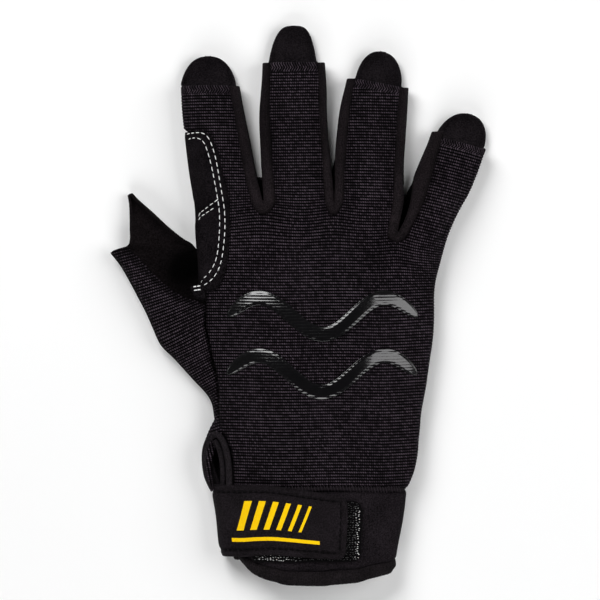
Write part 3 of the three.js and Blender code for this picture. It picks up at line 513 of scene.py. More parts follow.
def tongue_point(column, row):
    """Rounded suede tongue past the cut edge of a finger."""
    finger = clamp(np.floor((column - 1) / 2), 0, 3).astype(int)
    shape = {name: values[finger] for name, values in FINGERS.items()}
    line = 2 * finger
    out = row - 2
    share = 2 * (column - 1 - line) - 1
    edge = np.full(column.shape, 2.0)
    across, reach = by_line(palm_line_across, edge), by_line(palm_line_along, edge)
    length = TONGUE_LENGTH * shape["tongue"]
    narrow = np.maximum(0.1, (1 - np.minimum(clamp(out), 0.9999) ** shape["taper"]) ** shape["blunt"])
    left = pick(across, line) + shape["insetLeft"] * smooth(out * 11)
    right = pick(across, line + 1) - shape["insetRight"] * smooth(out * 11)
    middle = (left + right) / 2 + shape["lean"] * length * out
    start = mix(pick(reach, line), pick(reach, line + 1), (share * narrow + 1) / 2)
    lift = (SEAM_HEIGHT - GAP / 2) * (np.abs(share) ** 7 * (1 - out) + 1.1 * out**2.2)
    return stack(middle + share * (right - left) / 2 * narrow, start + length * out, lift)


def palm_point(column, row):
    column, row = arrays(column, row)
    inside = np.maximum(column, 1)
    flat = np.minimum(row, 2)
    across = between(palm_line_across, inside, flat)
    reach = between(palm_line_along, inside, flat)
    p = stack(across, reach, (SEAM_HEIGHT - GAP / 2) * palm_lift(inside, flat))
    if (row > 2).any():
        p = np.where((row > 2)[..., None], tongue_point(inside, np.maximum(row, 2)), p)
    if (column < 1).any():
        p = np.where((column < 1)[..., None], palm_curl(1 - column, row), p)
    return p


def palm_curl(depth, row):
    share = curve(PALM_OUTLINE, "along", "curl", row * PALM_FORK)
    across = palm_left(row * PALM_FORK) - 2.1 * arch(depth) * share + 0.6 * depth * share
    return stack(across, along(row * PALM_FORK), CURL_HEIGHT * share * depth)


# Strips between the fingers
FORKS = {
    "fourchette_index_middle": (1, 1, 1),
    "fourchette_middle_ring": (3, 1, 1),
    "fourchette_ring_pinky": (5, PINKY_BASE, PALM_PINKY_BASE),
}


def fork_path(line, base, at):
    """Column and row along a strip: down one finger's edge, round the fork and up the next."""
    first, second = 0.5 - FORK_TURN, 0.5 + FORK_TURN
    column = line + 1 + clamp((at - first) / (second - first))
    row = np.where(at > second, mix(base, 2, (at - second) / first), base)
    return column, np.where(at < first, mix(2, base, at / first), row)


def fork_point(fork, at, up):
    line, base, palm_base = fork
    at, up = arrays(at, up)
    foot = palm_point(*fork_path(line, palm_base, at))
    top = back_top(*fork_path(line, base, at))
    turning = clamp((at - (0.5 - FORK_TURN)) / (2 * FORK_TURN))
    sideways, forward = np.cos(math.pi * turning), np.sin(math.pi * turning)
    turn = smooth((FORK_TURN + 0.09 - np.abs(at - 0.5)) / 0.08)
    swell = FOURCHETTE_BULGE * arch(up) * (1 - 0.75 * turn)
    tuck = 0.8 * smooth((up - 0.9) / 0.1) * (1 - turn)
    proud = swell + GAP * up * mix(0.6, 2.8, turn) - tuck
    x = mix(foot[..., 0], top[..., 0], up) + sideways * proud
    y = mix(foot[..., 1] - 1.2 * forward**2, top[..., 1], up) + forward * proud
    z = mix(SEAM_HEIGHT + GAP / 2 + SUEDE_WALL * turn, top[..., 2] - 0.1, up)
    if line == 5:
        longer = 2.6 * smooth((at - 0.955) / 0.045)
        x, y = x + 0.35 * longer, y + 0.94 * longer
    wall = stack(x, y, z)
    band = fork_band(fork, top, foot, up, sideways, forward)
    share = smooth((0.26 - np.abs(at - 0.5)) / 0.12)[..., None]
    return mix(wall, band, share)


def fork_band(fork, top, foot, up, sideways, forward):
    """Round welt along the fork that dives into the gap between the fingers and runs on to the palm."""
    line, base, _ = fork
    ends = back_top(np.array([line + 1.0, line + 2.0]), np.array([base, base], float))
    width = 0.4 * np.linalg.norm((ends[1] - ends[0])[:2])
    turn = math.pi * 1.05 * clamp((1 - up) / (1 - BAND_END))
    out = width / 2 * (1 - np.cos(turn)) - 0.3
    low = SEAM_HEIGHT + 0.5
    rim = top[..., 2] - 0.45 + 1.25 * np.sin(turn)
    dive = clamp((BAND_END - up) / (BAND_END - BAND_DIVE))
    height = mix(rim, low, dive)
    flat = clamp((BAND_DIVE - up) / BAND_DIVE)
    x = mix(top[..., 0] + sideways * out, foot[..., 0], flat)
    y = mix(top[..., 1] + forward * out, foot[..., 1] - 1.2 * forward**2, flat)
    return stack(x, y, mix(height, low, flat))


# Places over the back
def surface_normal(point, u, v, e=2e-3):
    across = point(u + e, v) - point(u - e, v)
    up = point(u, v + e) - point(u, v - e)
    return unit(np.cross(across, up))


def over_back(column, row, lift):
    lift = np.asarray(lift, float)
    lift = lift[..., None] if lift.ndim else lift
    return back_point(column, row) + surface_normal(back_point, column, row) * lift


def place_on_back(x, y):
    """Column and row of the back under a place; beyond the forks only on the index finger."""
    row = back_row(0, y)
    lines = by_line(back_line_across, row)
    line = clamp((lines < x).sum(0) - 1, 0, 6)
    low, high = pick(lines, line), pick(lines, line + 1)
    return 1 + line + (x - low) / (high - low), row


def on_back(x, y, lift=0.0):
    column, row = place_on_back(np.asarray(x, float), np.asarray(y, float))
    return over_back(column, row, lift)


# Thumb
def thumb_left(row):
    reach = curve(THUMB_ROWS, "at", "reach", row)
    return THUMB_ROOT * HAND_WIDTH - reach * THUMB_REACH, along(curve(THUMB_ROWS, "at", "along", row))


def thumb_rim(row):
    share = curve(THUMB_ROWS, "at", "rimAlong", row)
    seam = back_top(np.ones_like(share), share)
    free = THUMB_ROOT * HAND_WIDTH - curve(THUMB_ROWS, "at", "rim", row) * THUMB_REACH
    joined = row >= THUMB_SEAM_ROW
    across = np.where(joined, seam[..., 0] - GAP, np.minimum(free, seam[..., 0] - GAP))
    own = SIDE_HEIGHT * curve(THUMB_ROWS, "at", "height", row)
    return across, along(share), np.where(joined, seam[..., 2] - 1.5 * smooth((row - 5) / 2), own)


def thumb_back_point(side, row):
    side, row = arrays(side, row)
    x, y = thumb_left(row)
    rim = thumb_rim(row)
    foot = THUMB_SEAM_HEIGHT + 4.5 * GAP
    swell = THUMB_SWELL * curve(THUMB_ROWS, "at", "swell", row) * np.sin(math.pi * clamp(side) ** 0.8)
    return stack(mix(x, rim[0], side), mix(y, rim[1], side), mix(foot, rim[2], side) + swell)


def thumb_front_point(side, row):
    side, row = arrays(side, row)
    foot = THUMB_SEAM_HEIGHT - GAP / 2
    root = THUMB_ROOT * HAND_WIDTH
    low = clamp(np.floor(row), 0, THUMB_LAST_ROW - 1).astype(int)
    share = mix(THUMB_PALM_ALONG[low], THUMB_PALM_ALONG[low + 1], clamp(row - low))
    right = palm_left(share) - 2 * GAP
    end = root - THUMB_TONGUE_ROWS["right"][0] * THUMB_REACH
    seam = mix(right, np.minimum(right, end), smooth(row - 8))
    x, y = thumb_left(THUMB_LAST_ROW - np.minimum(row, THUMB_LAST_ROW))
    open_share = THUMB_TONGUE_ROWS["rightRise"][0] * smooth((row - 7.5) / 1.5)
    steep = mix(mix(3, 9, smooth(row / 2)), 4, smooth(row - 8))
    lift = foot * ((1 - side) ** steep + open_share * side**4)
    hand = stack(mix(x, seam, side), mix(y, along(share), side), lift)
    tongue = np.maximum(0, row - THUMB_LAST_ROW)
    tip = {name: curve(THUMB_TONGUE_ROWS, "at", name, tongue) for name in THUMB_TONGUE_ROWS}
    start = along(mix(THUMB_ROWS["along"][0], THUMB_PALM_ALONG[-1], side))
    lift = foot * (tip["leftRise"] * (1 - side) ** 4 + tip["rightRise"] * side**4)
    across = root - mix(tip["left"], tip["right"], side) * THUMB_REACH
    past = stack(across, start + tip["along"] * THUMB_TONGUE, lift)
    return np.where((tongue > 0)[..., None], past, hand)


# Cuff and strap
def wrist_ring(at):
    """Edge of the hand at the wrist: over the back to place 8, then under the palm."""
    back = back_point(np.minimum(at, 8) + 1, np.zeros_like(at))
    palm = palm_point(16 - np.maximum(at, 8), np.zeros_like(at))
    return np.where((at <= 8)[..., None], back, palm)


def cuff_point(at, down):
    at, down = arrays(at, down)
    p = wrist_ring(at)
    middle = CUFF_MIDDLE * HAND_WIDTH
    share = curve(CUFF_EDGE, "at", "share", at)
    curl = 2.6 * smooth((at - 13) / 2) + 1.4 * arch(clamp(at - 15))
    x = middle + (p[..., 0] - middle) * (1 - CUFF_TAPER * down) + curl
    x = x - CUFF_LEAN * down**2 * smooth(p[..., 0] / 30)
    return stack(x, along(0) - GAP - down * share * CUFF_HEIGHT, p[..., 2] * (1 - CUFF_SINK * down))


TOP_PLACES = np.linspace(0, 7, 281)
TOP_DOWNS = np.linspace(0, 1, 41)
TOP_GRID = cuff_point(TOP_PLACES[None, :], TOP_DOWNS[:, None])


def cuff_top(across, reach):
    """Height of the cuff's top under a place."""
    across, reach = np.broadcast_arrays(np.asarray(across, float), np.asarray(reach, float))
    down = clamp((along(0) - reach) / CUFF_HEIGHT) * (len(TOP_DOWNS) - 1)
    low = np.minimum(np.floor(down), len(TOP_DOWNS) - 2).astype(int)
    heights = np.stack([np.interp(across, grid[:, 0], grid[:, 2]) for grid in TOP_GRID])
    return mix(pick(heights, low), pick(heights, low + 1), down - low)


def bezier(a, b, c, d, t):
    s = 1 - t
    return s * s * s * a + 3 * s * s * t * b + 3 * s * t * t * c + t * t * t * d


def corner_cut(from_end, radius):
    inside = np.sqrt(np.maximum(0, radius**2 - (radius - np.minimum(from_end, radius)) ** 2))
    return np.where(from_end >= radius, 0, radius - inside)


def strap_point(at, across):
    at, across = arrays(at, across)
    start_x = STRAP_LEFT * HAND_WIDTH + STRAP_INSET
    cut = np.where(at > 0, corner_cut((1 - clamp(at)) * STRAP_REACH, STRAP_CORNER), 0)
    slack = STRAP_DROP * smooth(at) - STRAP_SAG * np.sin(math.pi * clamp(at))
    slack = slack + 0.9 * smooth((0.35 - at) / 0.5)
    middle = along(0) - STRAP_TOP - STRAP_WIDTH / 2 - slack
    half = STRAP_WIDTH / 2 + STRAP_FULL + STRAP_GROW * (1 - clamp(at)) - cut
    reach = middle - (across - 0.5) * 2 * half
    taper = 1 - CUFF_TAPER * (along(0) - reach) / CUFF_HEIGHT
    flat_x = mix(start_x * taper + STRAP_INSET * (1 - taper), start_x + STRAP_REACH, at)
    flat = stack(flat_x, reach, cuff_top(flat_x, reach) + STRAP_LIFT)
    start = STRAP_LEFT * HAND_WIDTH * taper + STRAP_INSET
    top = cuff_top(start, reach) + STRAP_LIFT
    slope = (cuff_top(start + 1, reach) - cuff_top(start, reach)) * 7
    side = STRAP_SIDE * HAND_WIDTH * taper - STRAP_FLARE * (1 - across)
    t = clamp(1 + at)
    turned_x = bezier(side + 0.6, side - 1.4, start - 7, start, t)
    turned = stack(turned_x, reach, bezier(STRAP_FOOT, top * 0.72, top - slope * 1.1, top, t))
    return np.where((at <= 0)[..., None], turned, flat)


def hook_point(at, across):
    at, across = arrays(at, across)
    from_end = (1 - at) * HOOK_REACH
    cut = corner_cut(from_end, STRAP_CORNER)
    low = along(0) - STRAP_TOP - STRAP_WIDTH - HOOK_BELOW
    reach = low + cut + (1 - across) * (HOOK_WIDTH - 2 * cut)
    x = STRAP_LEFT * HAND_WIDTH + STRAP_INSET + STRAP_REACH + HOOK_SHOW - from_end
    return stack(x, reach, cuff_top(x, reach) + GAP + HOOK_WALL)


# Soft give of the whole glove, the same for every piece, so that the pieces stay together
def settle(p):
    x, y, z = p[:, 0], p[:, 1], p[:, 2]
    dent = 0.34 * np.sin(x / 15 + 0.6) * np.sin(y / 21 + 1.1) + 0.22 * np.sin((x * 0.8 + y) / 11.5 + 2)
    dent += 0.16 * np.sin((x - 0.7 * y) / 7.3) * np.sin(y / 9.1 + 0.4)
    out = p.copy()
    out[:, 2] = z + dent * smooth(z / 12)
    out[:, 0] = x + 0.22 * np.sin(y / 9.5 + 0.8) + 0.12 * np.sin(y / 4.1)
    out[:, 1] = y + 0.15 * np.sin(x / 7.7 + 0.3)
    return out


# Meshes
# A patch's second layer, fit, holds a hem mask or a painted glint, and then the painted shade.
def patch(points, uv=None, relief=None, fit=None, flip=False):
    shape = points.shape[:2]
    uv = points[..., :2] if uv is None else np.broadcast_to(uv, (*shape, 2))
    relief = np.zeros(shape) if relief is None else np.broadcast_to(relief, shape)
    fit = np.zeros((*shape, 2)) if fit is None else np.broadcast_to(fit, (*shape, 2))
    return {"p": points, "uv": uv, "relief": relief, "fit": fit, "flip": flip}


def weld(patches, step=0.004):
    """Joins patches where their places meet; cloth and fit coordinates stay with the face corners."""
    places, uv, fit, relief = (
        np.concatenate([q[key].reshape(-1, n) for q in patches])
        for key, n in (("p", 3), ("uv", 2), ("fit", 2), ("relief", 1))
    )
    faces, offset = [], 0
    for q in patches:
        rows, columns = q["p"].shape[:2]
        ids = offset + np.arange(rows * columns).reshape(rows, columns)
        quads = stack(ids[:-1, :-1], ids[:-1, 1:], ids[1:, 1:], ids[1:, :-1]).reshape(-1, 4)
        faces.append(quads[:, ::-1] if q["flip"] else quads)
        offset += rows * columns
    corners = np.concatenate(faces)
    keys = np.round(places / step).astype(np.int64)
    _, first, inverse = np.unique(keys, axis=0, return_index=True, return_inverse=True)
    inverse = inverse.reshape(-1)
    return {
        "p": places[first],
        "relief": relief[first, 0],
        "faces": inverse[corners],
        "uv": uv[corners],
        "fit": fit[corners],
    }


def normals_of(places, faces):
    a, b, c, d = (places[faces[:, i]] for i in range(4))
    n = np.cross(c - a, d - b)
    out = np.zeros_like(places)
    for i in range(4):
        np.add.at(out, faces[:, i], n)
    return unit(out)


def open_edges(faces):
    """Directed edges that only one face has, with the face corners that they start and end at."""
    starts = faces.reshape(-1)
    ends = np.roll(faces, -1, axis=1).reshape(-1)
    corner = np.arange(len(starts))
    following = np.roll(corner.reshape(-1, 4), -1, axis=1).reshape(-1)
    real = starts != ends
    starts, ends, corner, following = starts[real], ends[real], corner[real], following[real]
    size = faces.max() + 1
    forward, backward = starts * size + ends, ends * size + starts
    alone = ~np.isin(forward, backward)
    return starts[alone], ends[alone], corner[alone], following[alone]


def thicken(skin, wall, closed=True, lip=None):
    """Gives a welded skin its wall: a round rim along its open edges, and an inner skin or a short lip."""
    places, faces = skin["p"], skin["faces"]
    normals = normals_of(places, faces)
    outer = places + normals * skin["relief"][:, None]
    inner = places - normals * wall
    starts, ends, from_corner, to_corner = open_edges(faces)
    edge = unit(places[ends] - places[starts])
    side = np.zeros_like(places)
    np.add.at(side, starts, np.cross(edge, normals[starts]))
    np.add.at(side, ends, np.cross(edge, normals[ends]))
    side = unit(side)
    count = len(places)
    rim_ids = np.unique(np.concatenate([starts, ends]))
    slot = np.full(count, -1)
    slot[rim_ids] = np.arange(len(rim_ids))
    middle = (outer[rim_ids] + inner[rim_ids]) / 2
    half = np.linalg.norm(outer[rim_ids] - inner[rim_ids], axis=1, keepdims=True) / 2
    blocks = [outer]
    ladder = [lambda v: v]
    offset = count
    for angle in np.radians((45, 90, 135)):
        blocks.append(middle + half * (math.cos(angle) * normals[rim_ids] + math.sin(angle) * side[rim_ids]))
        ladder.append(lambda v, o=offset: o + slot[v])
        offset += len(rim_ids)
    new_faces, new_uv, new_fit = [faces], [skin["uv"]], [skin["fit"]]
    uv_flat, fit_flat = skin["uv"].reshape(-1, 2), skin["fit"].reshape(-1, 2)
    if closed:
        blocks.append(inner)
        ladder.append(lambda v, o=offset: o + v)
        new_faces.append(faces[:, ::-1] + offset)
        new_uv.append(skin["uv"][:, ::-1])
        new_fit.append(skin["fit"][:, ::-1])
    else:
        blocks.append(inner[rim_ids])
        ladder.append(lambda v, o=offset: o + slot[v])
        offset += len(rim_ids)
        if lip:
            blocks.append(inner[rim_ids] - side[rim_ids] * lip)
            ladder.append(lambda v, o=offset: o + slot[v])
    for upper, lower in zip(ladder, ladder[1:]):
        new_faces.append(stack(upper(ends), upper(starts), lower(starts), lower(ends)))
        order = [to_corner, from_corner, from_corner, to_corner]
        new_uv.append(np.stack([uv_flat[c] for c in order], 1))
        new_fit.append(np.stack([fit_flat[c] for c in order], 1))
    return {
        "p": np.concatenate(blocks),
        "faces": np.concatenate(new_faces),
        "uv": np.concatenate(new_uv),
        "fit": np.concatenate(new_fit),
    }


def shaded(shade):
    """Second layer of a piece that has shade alone."""
    return stack(np.zeros_like(shade), shade)


def join(parts):
    """Several meshes as one."""
    offset, faces = 0, []
    for part in parts:
        faces.append(part["faces"] + offset)
        offset += len(part["p"])
    whole = {key: np.concatenate([part[key] for part in parts]) for key in ("p", "uv", "fit")}
    return {**whole, "faces": np.concatenate(faces)}


def piece(name, mesh, material, replaces=(), flat=None, area=None):
    places = settle(mesh["p"]) * 0.001
    faces = mesh["faces"]
    distinct = np.stack([faces[:, i] != faces[:, (i + 1) % 4] for i in range(4)], 1)
    keep = distinct.sum(1) >= 3
    faces, distinct, uv, fit = faces[keep], distinct[keep], mesh["uv"][keep], mesh["fit"][keep]
    totals = distinct.sum(1)
    used = distinct.reshape(-1)
    corners = faces.reshape(-1)[used]
    data = bpy.data.meshes.new(name)
    data.vertices.add(len(places))
    data.vertices.foreach_set("co", places.astype(np.float32).ravel())
    data.loops.add(len(corners))
    data.loops.foreach_set("vertex_index", corners.astype(np.int32))
    data.polygons.add(len(faces))
    data.polygons.foreach_set("loop_start", np.concatenate([[0], np.cumsum(totals)[:-1]]).astype(np.int32))
    data.polygons.foreach_set("use_smooth", np.ones(len(faces), bool))
    for layer, values in (("cloth", uv), ("fit", fit)):
        made = data.uv_layers.new(name=layer)
        made.data.foreach_set("uv", values.reshape(-1, 2)[used].astype(np.float32).ravel())
    data.update(calc_edges=True)
    data.validate()
    obj = bpy.data.objects.new(name, data)
    bpy.context.scene.collection.objects.link(obj)
    obj.data.materials.append(material)
    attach(obj, "root")
    if replaces:
        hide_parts(*replaces)
    if flat:
        flat = tuple(n * 0.001 for n in flat)
        area and area * 1e-6
    return obj


def tube(points, radius, sides=8, up=(0, 0, 1), squash=1.0):
    """A round rod along points; radius may change along it, and squash flattens it along up."""
    points = np.asarray(points, float)
    count = len(points)
    radius = np.broadcast_to(np.asarray(radius, float), count)
    ahead = unit(np.gradient(points, axis=0))
    up = np.broadcast_to(np.asarray(up, float), points.shape)
    across = unit(np.cross(ahead, up))
    over = np.cross(across, ahead)
    angles = np.arange(sides + 1) * 2 * math.pi / sides
    c, s = np.cos(angles)[None, :, None], np.sin(angles)[None, :, None]
    ring = c * across[:, None] + squash * s * over[:, None]
    grid = points[:, None] + ring * radius[:, None, None]
    length = lengths_along(points)
    uv = np.stack(np.broadcast_arrays(angles[None, :] * radius.mean(), length[:, None]), -1)
    first, last = (np.broadcast_to(points[k, None, None], grid[:1].shape) for k in (0, -1))
    grid = np.concatenate([first, grid, last])
    uv = np.concatenate([uv[:1], uv, uv[-1:]])
    return weld([patch(grid, uv, flip=True)], step=1e-5)


def resample(points, step):
    points = np.asarray(points, float)
    length = lengths_along(points)
    count = max(2, int(round(length[-1] / step)) + 1)
    places = np.linspace(0, length[-1], count)
    return np.stack([np.interp(places, length, points[:, k]) for k in range(points.shape[1])], -1)


def rounded(points, passes=3):
    """Smooth line through rough points, its ends kept."""
    points = np.asarray(points, float)
    for _ in range(passes):
        cut = np.empty((2 * len(points) - 2, points.shape[1]))
        cut[0::2] = mix(points[:-1], points[1:], 0.25)
        cut[1::2] = mix(points[:-1], points[1:], 0.75)
        points = np.concatenate([points[:1], cut, points[-1:]])
    return points


def dashes(line, ups, pitch, length, radius, sink=0.1, jitter=0.12, seed=1):
    """Stitches along a line: short rounded threads that dive at both ends."""
    generator = np.random.default_rng(seed)
    distance = lengths_along(line)
    parts = []
    shape = np.linspace(-1, 1, 7)
    for start in np.arange(0.2, distance[-1] - length, pitch):
        shift = generator.uniform(-jitter, jitter, 3)
        places = start + shift[0] + (shape + 1) / 2 * length * (1 + 0.4 * shift[1])
        mid = np.stack([np.interp(places, distance, line[:, k]) for k in range(3)], -1)
        up = np.stack([np.interp(places, distance, ups[:, k]) for k in range(3)], -1)
        mid = mid + up * (radius * (0.55 - 1.25 * np.abs(shape) ** 3) - sink)[:, None]
        thread = radius * np.sqrt(np.maximum(0.12, 1 - np.abs(shape) ** 4))
        parts.append(tube(mid, thread, 6, up.mean(0), 0.8))
    return join(parts)


# Materials
def feed(tree, socket, value):
    """Links a socket to a value of the surface, or sets it to a plain number or colour."""
    if isinstance(value, Value):
        tree.links.new(value.socket, socket)
    else:
        socket.default_value = value


class Value:
    """Result of a node; arithmetic with it adds Math nodes."""

    def __init__(self, tree, socket):
        self.tree = tree
        self.socket = socket

    def math(self, operation, *inputs):
        made = self.tree.nodes.new("ShaderNodeMath")
        made.operation = operation
        for socket, value in zip(made.inputs, inputs or [self]):
            feed(self.tree, socket, value)
        return Value(self.tree, made.outputs[0])

    def __add__(self, other):
        return self.math("ADD", self, other)

    def __sub__(self, other):
        return self.math("SUBTRACT", self, other)

    def __rsub__(self, other):
        return self.math("SUBTRACT", other, self)

    def __mul__(self, other):
        return self.math("MULTIPLY", self, other)

    def __truediv__(self, other):
        return self.math("DIVIDE", self, other)

    def __pow__(self, other):
        return self.math("POWER", self, other)

    def clamp(self):
        self.socket.node.use_clamp = True
        return self

    def ridges(self, pitch=1.0):
        """Rounded ridges from 0 to 1, one in each pitch."""
        return (self / pitch * math.pi).math("SINE").math("ABSOLUTE")

    def inside(self, low, high):
        """1 between two limits and 0 elsewhere."""
        return self.math("GREATER_THAN", self, low) * self.math("LESS_THAN", self, high)


class Shader:
    """Short names for the nodes of one material."""

    def __init__(self, name, roughness=0.9, **inputs):
        self.material = bpy.data.materials.new(name)
        self.material.use_nodes = True
        self.tree = self.material.node_tree
        self.body = self.tree.nodes["Principled BSDF"]
        self.body.inputs["Roughness"].default_value = roughness
        for key, value in inputs.items():
            self.body.inputs[key.replace("_", " ")].default_value = value
        self.place = self.times(self.node("ShaderNodeTexCoord", "Object"), 1000.0)

    def node(self, kind, output, inputs=None, **settings):
        """Adds a node and gives one of its outputs."""
        made = self.tree.nodes.new(kind)
        for key, value in settings.items():
            setattr(made, key, value)
        for key, value in (inputs or {}).items():
            feed(self.tree, made.inputs[key], value)
        return Value(self.tree, made.outputs[output])

    def cloth(self, layer="cloth"):
        """Both coordinates of one of the piece's two layers."""
        first = self.node("ShaderNodeSeparateXYZ", 0, {0: self.node("ShaderNodeUVMap", 0, uv_map=layer)})
        return first, Value(self.tree, first.socket.node.outputs[1])

    def noise(self, scale, detail=3.0, roughness=0.55):
        """Noise over the object, with its scale per millimetre."""
        inputs = {"Vector": self.place, "Scale": scale, "Detail": detail, "Roughness": roughness}
        return self.node("ShaderNodeTexNoise", "Fac", inputs)

    def cells(self, x, y):
        """A random number for each whole pair of x and y."""
        vector = self.node("ShaderNodeCombineXYZ", 0, {0: x.math("FLOOR"), 1: y.math("FLOOR")})
        return self.node("ShaderNodeTexWhiteNoise", "Value", {"Vector": vector}, noise_dimensions="2D")

    def blend(self, share, a, b):
        return self.node("ShaderNodeMix", 2, {0: share, 6: a, 7: b}, data_type="RGBA")

    def times(self, vector, share):
        return self.node("ShaderNodeVectorMath", 0, {0: vector, "Scale": share}, operation="SCALE")

    def paint(self, colour, shade=None):
        """Sets the colour, made darker by shade where that is given."""
        colour = self.times(colour, 1.0 - shade) if shade else colour
        feed(self.tree, self.body.inputs["Base Color"], colour)

    def bump(self, height, distance, strength):
        """Relief from a height, its distance in millimetres."""
        inputs = {"Distance": distance * 0.001, "Strength": strength, "Height": height}
        feed(self.tree, self.body.inputs["Normal"], self.node("ShaderNodeBump", 0, inputs))


def srgb(r, g, b):
    linear = [((c / 255 + 0.055) / 1.055) ** 2.4 if c > 10 else c / 255 / 12.92 for c in (r, g, b)]
    return (*linear, 1.0)


def knit_material():
    """Ribbed knit: rows of small loops with deep valleys between the rows, painted lighter on the loops'
    crowns and near black in the valleys (painted highlight and painted shade).
    """
    s = Shader("ribbed_knit", 0.85, Specular_IOR_Level=0.03)
    u, v = s.cloth()
    hem, shade = s.cloth("fit")
    row = v / RIB
    across = u / LOOP + row.math("FRACT") * 0.5
    bead = across.ridges() ** 1.4 * 0.66 + 0.34
    crown = row.ridges() ** 1.35 * bead
    in_hem = (hem * 30.0).clamp()
    braid = (hem - 0.5).math("ABSOLUTE") * 1.7 + u / 1.05
    braid = braid.ridges() ** 1.5 * 0.79
    height = braid * in_hem + crown * (1.0 - in_hem)
    fuzz = s.noise(2.2, 2.0)
    tone = s.noise(0.06, 2.0)
    # The colour follows the loops' height: a painted highlight on their crowns and painted shade in the
    # valleys, varied at random from loop to loop and over the cloth.
    lift = height * (s.cells(across, row) * 0.55 + 0.74)
    lift = lift * (tone * 0.5 + 0.75)
    lift = lift * (fuzz * 0.7 + 0.65)
    lift = (lift * 0.95).clamp() ** 2.8
    s.paint(s.blend(lift, (0.0002, 0.0002, 0.0002, 1), srgb(79, 69, 78)), shade)
    s.bump(height + fuzz * 0.25, 0.22, 0.9)
    return s.material


def suede_material(name, dark, light, brown=None):
    """Napped suede: fine short fibres with brushed patches."""
    s = Shader(name, 0.95, Specular_IOR_Level=0.03)
    _, shade = s.cloth("fit")
    nap = s.noise(1.9, 5.0, 0.75)
    brushed = s.noise(0.11, 3.0, 0.6)
    pores = s.noise(0.8, 3.0, 0.6)
    share = (brushed * 0.9 + nap * 5.0 - 2.5).clamp()
    colour = s.blend(share, srgb(*dark), srgb(*light))
    if brown:
        colour = s.blend(pores * 0.5, colour, srgb(*brown))
    s.paint(colour, shade)
    s.bump(nap + pores * 0.8, 0.16, 0.8)
    return s.material


def jersey_material(name, dark, light, pitch=0.42, strength=0.5):
    """Fine smooth knit with thin wales along its length."""
    s = Shader(name, 0.9, Specular_IOR_Level=0.05)
    u, v = s.cloth()
    _, shade = s.cloth("fit")
    wale = (u / pitch + s.noise(0.35, 2.0)).ridges()
    course = v.ridges(pitch * 0.8)
    fuzz = s.noise(1.9, 5.0, 0.75)
    tone = s.noise(0.09, 3.0)
    share = fuzz * 4.6 + tone * 0.8 - 2.55
    share = (share + wale * 0.3 + course * 0.15).clamp()
    s.paint(s.blend(share, srgb(*dark), srgb(*light)), shade)
    s.bump(wale * 0.6 + course * 0.3 + fuzz, 0.1, strength)
    return s.material


def tape_material(name, dark, light, pitch):
    """Woven binding tape with fine ribs across it."""
    s = Shader(name, 0.88, Specular_IOR_Level=0.06)
    _, v = s.cloth()
    fuzz = s.noise(1.8, 5.0, 0.75)
    tone = s.noise(0.12, 2.0)
    rib = v.ridges(pitch)
    share = (rib * 0.25 + fuzz * 3.4 + tone * 0.6 - 1.8).clamp()
    s.paint(s.blend(share, srgb(*dark), srgb(*light)))
    s.bump(rib * 0.9 + fuzz * 0.5, 0.1, 0.6)
    return s.material


def thread_material(name, colour, roughness=0.7):
    """Twisted thread of slightly uneven tone."""
    s = Shader(name, roughness, Specular_IOR_Level=0.06)
    _, v = s.cloth()
    ply = ((v + s.noise(1.0)) * 16.0).math("SINE")
    s.paint(s.times(srgb(*colour)[:3], s.noise(0.5) * 0.35 + 0.78))
    s.bump(ply, 0.06, 0.6)
    return s.material


def gloss_material():
    """Glossy raised print, slightly uneven where it sits on the ribs."""
    s = Shader("gloss_print", 0.16, Coat_Weight=0.5, Coat_Roughness=0.08, IOR=1.5)
    _, v = s.cloth()
    s.paint(s.blend(s.noise(0.5, 2.0), srgb(6, 6, 7), srgb(14, 13, 15)))
    s.bump(v.ridges(RIB) * 0.35 + s.noise(0.25, 2.0) * 1.4, 0.12, 0.5)
    return s.material


def hook_material(name, dark, light, roughness, shine):
    """Plastic of the hook tape, with a glint painted into its colour where the first fit value gives one,
    most at the tape's edges.
    """
    s = Shader(name, roughness, Specular_IOR_Level=shine)
    glint, _ = s.cloth("fit")
    share = ((s.noise(1.3) * 1.6 + 0.3) * glint).clamp()
    s.paint(s.blend(share, srgb(*dark), srgb(*light)))
    s.bump(s.noise(1.8), 0.1, 0.6)
    return s.material


def strap_material():
    """Fine weave with slanted yellow bars of falling width printed on it."""
    s = Shader("strap_weave", 0.85, Specular_IOR_Level=0.06)
    u, v = s.cloth()
    _, shade = s.cloth("fit")
    fuzz = s.noise(1.8, 5.0, 0.75)
    tone = s.noise(0.1, 3.0)
    share = (fuzz * 4.6 + tone * 0.8 - 2.3).clamp()
    cloth = s.blend(share, srgb(10, 8, 9), srgb(36, 31, 35))
    ragged = s.noise(1.6, 2.0) * 0.16 - 0.08
    leaned = v * BAR_SLOPE + u + ragged
    down = v + ragged
    foot = BAR_SLOPE * BAR_BOTTOM
    bars = u * 0.0
    for start, end in BARS:
        bars = bars + leaned.inside(start + foot, end + foot)
    bars = bars * down.inside(BAR_TOP, BAR_BOTTOM)
    line = u.inside(LINE_LEFT, LINE_RIGHT) * down.inside(LINE_TOP, LINE_BOTTOM)
    printed = bars + line
    yellow = s.blend(s.noise(0.6), srgb(244, 190, 6), srgb(255, 214, 18))
    yellow = s.times(yellow, fuzz * 0.25 + 0.93)
    s.paint(s.blend(printed, cloth, yellow), shade)
    weave = u.ridges(0.5) * 0.4 + v.ridges(0.5) * 0.4 + fuzz
    s.bump(printed * 1.2 + weave, 0.1, 0.6)
    return s.material


def floor_material():
    s = Shader("floor", 0.9)
    s.paint(s.blend(s.noise(0.01), (0.945, 0.945, 0.945, 1), (0.965, 0.965, 0.965, 1)))
    s.bump(s.noise(1.5), 0.02, 0.2)
    return s.material


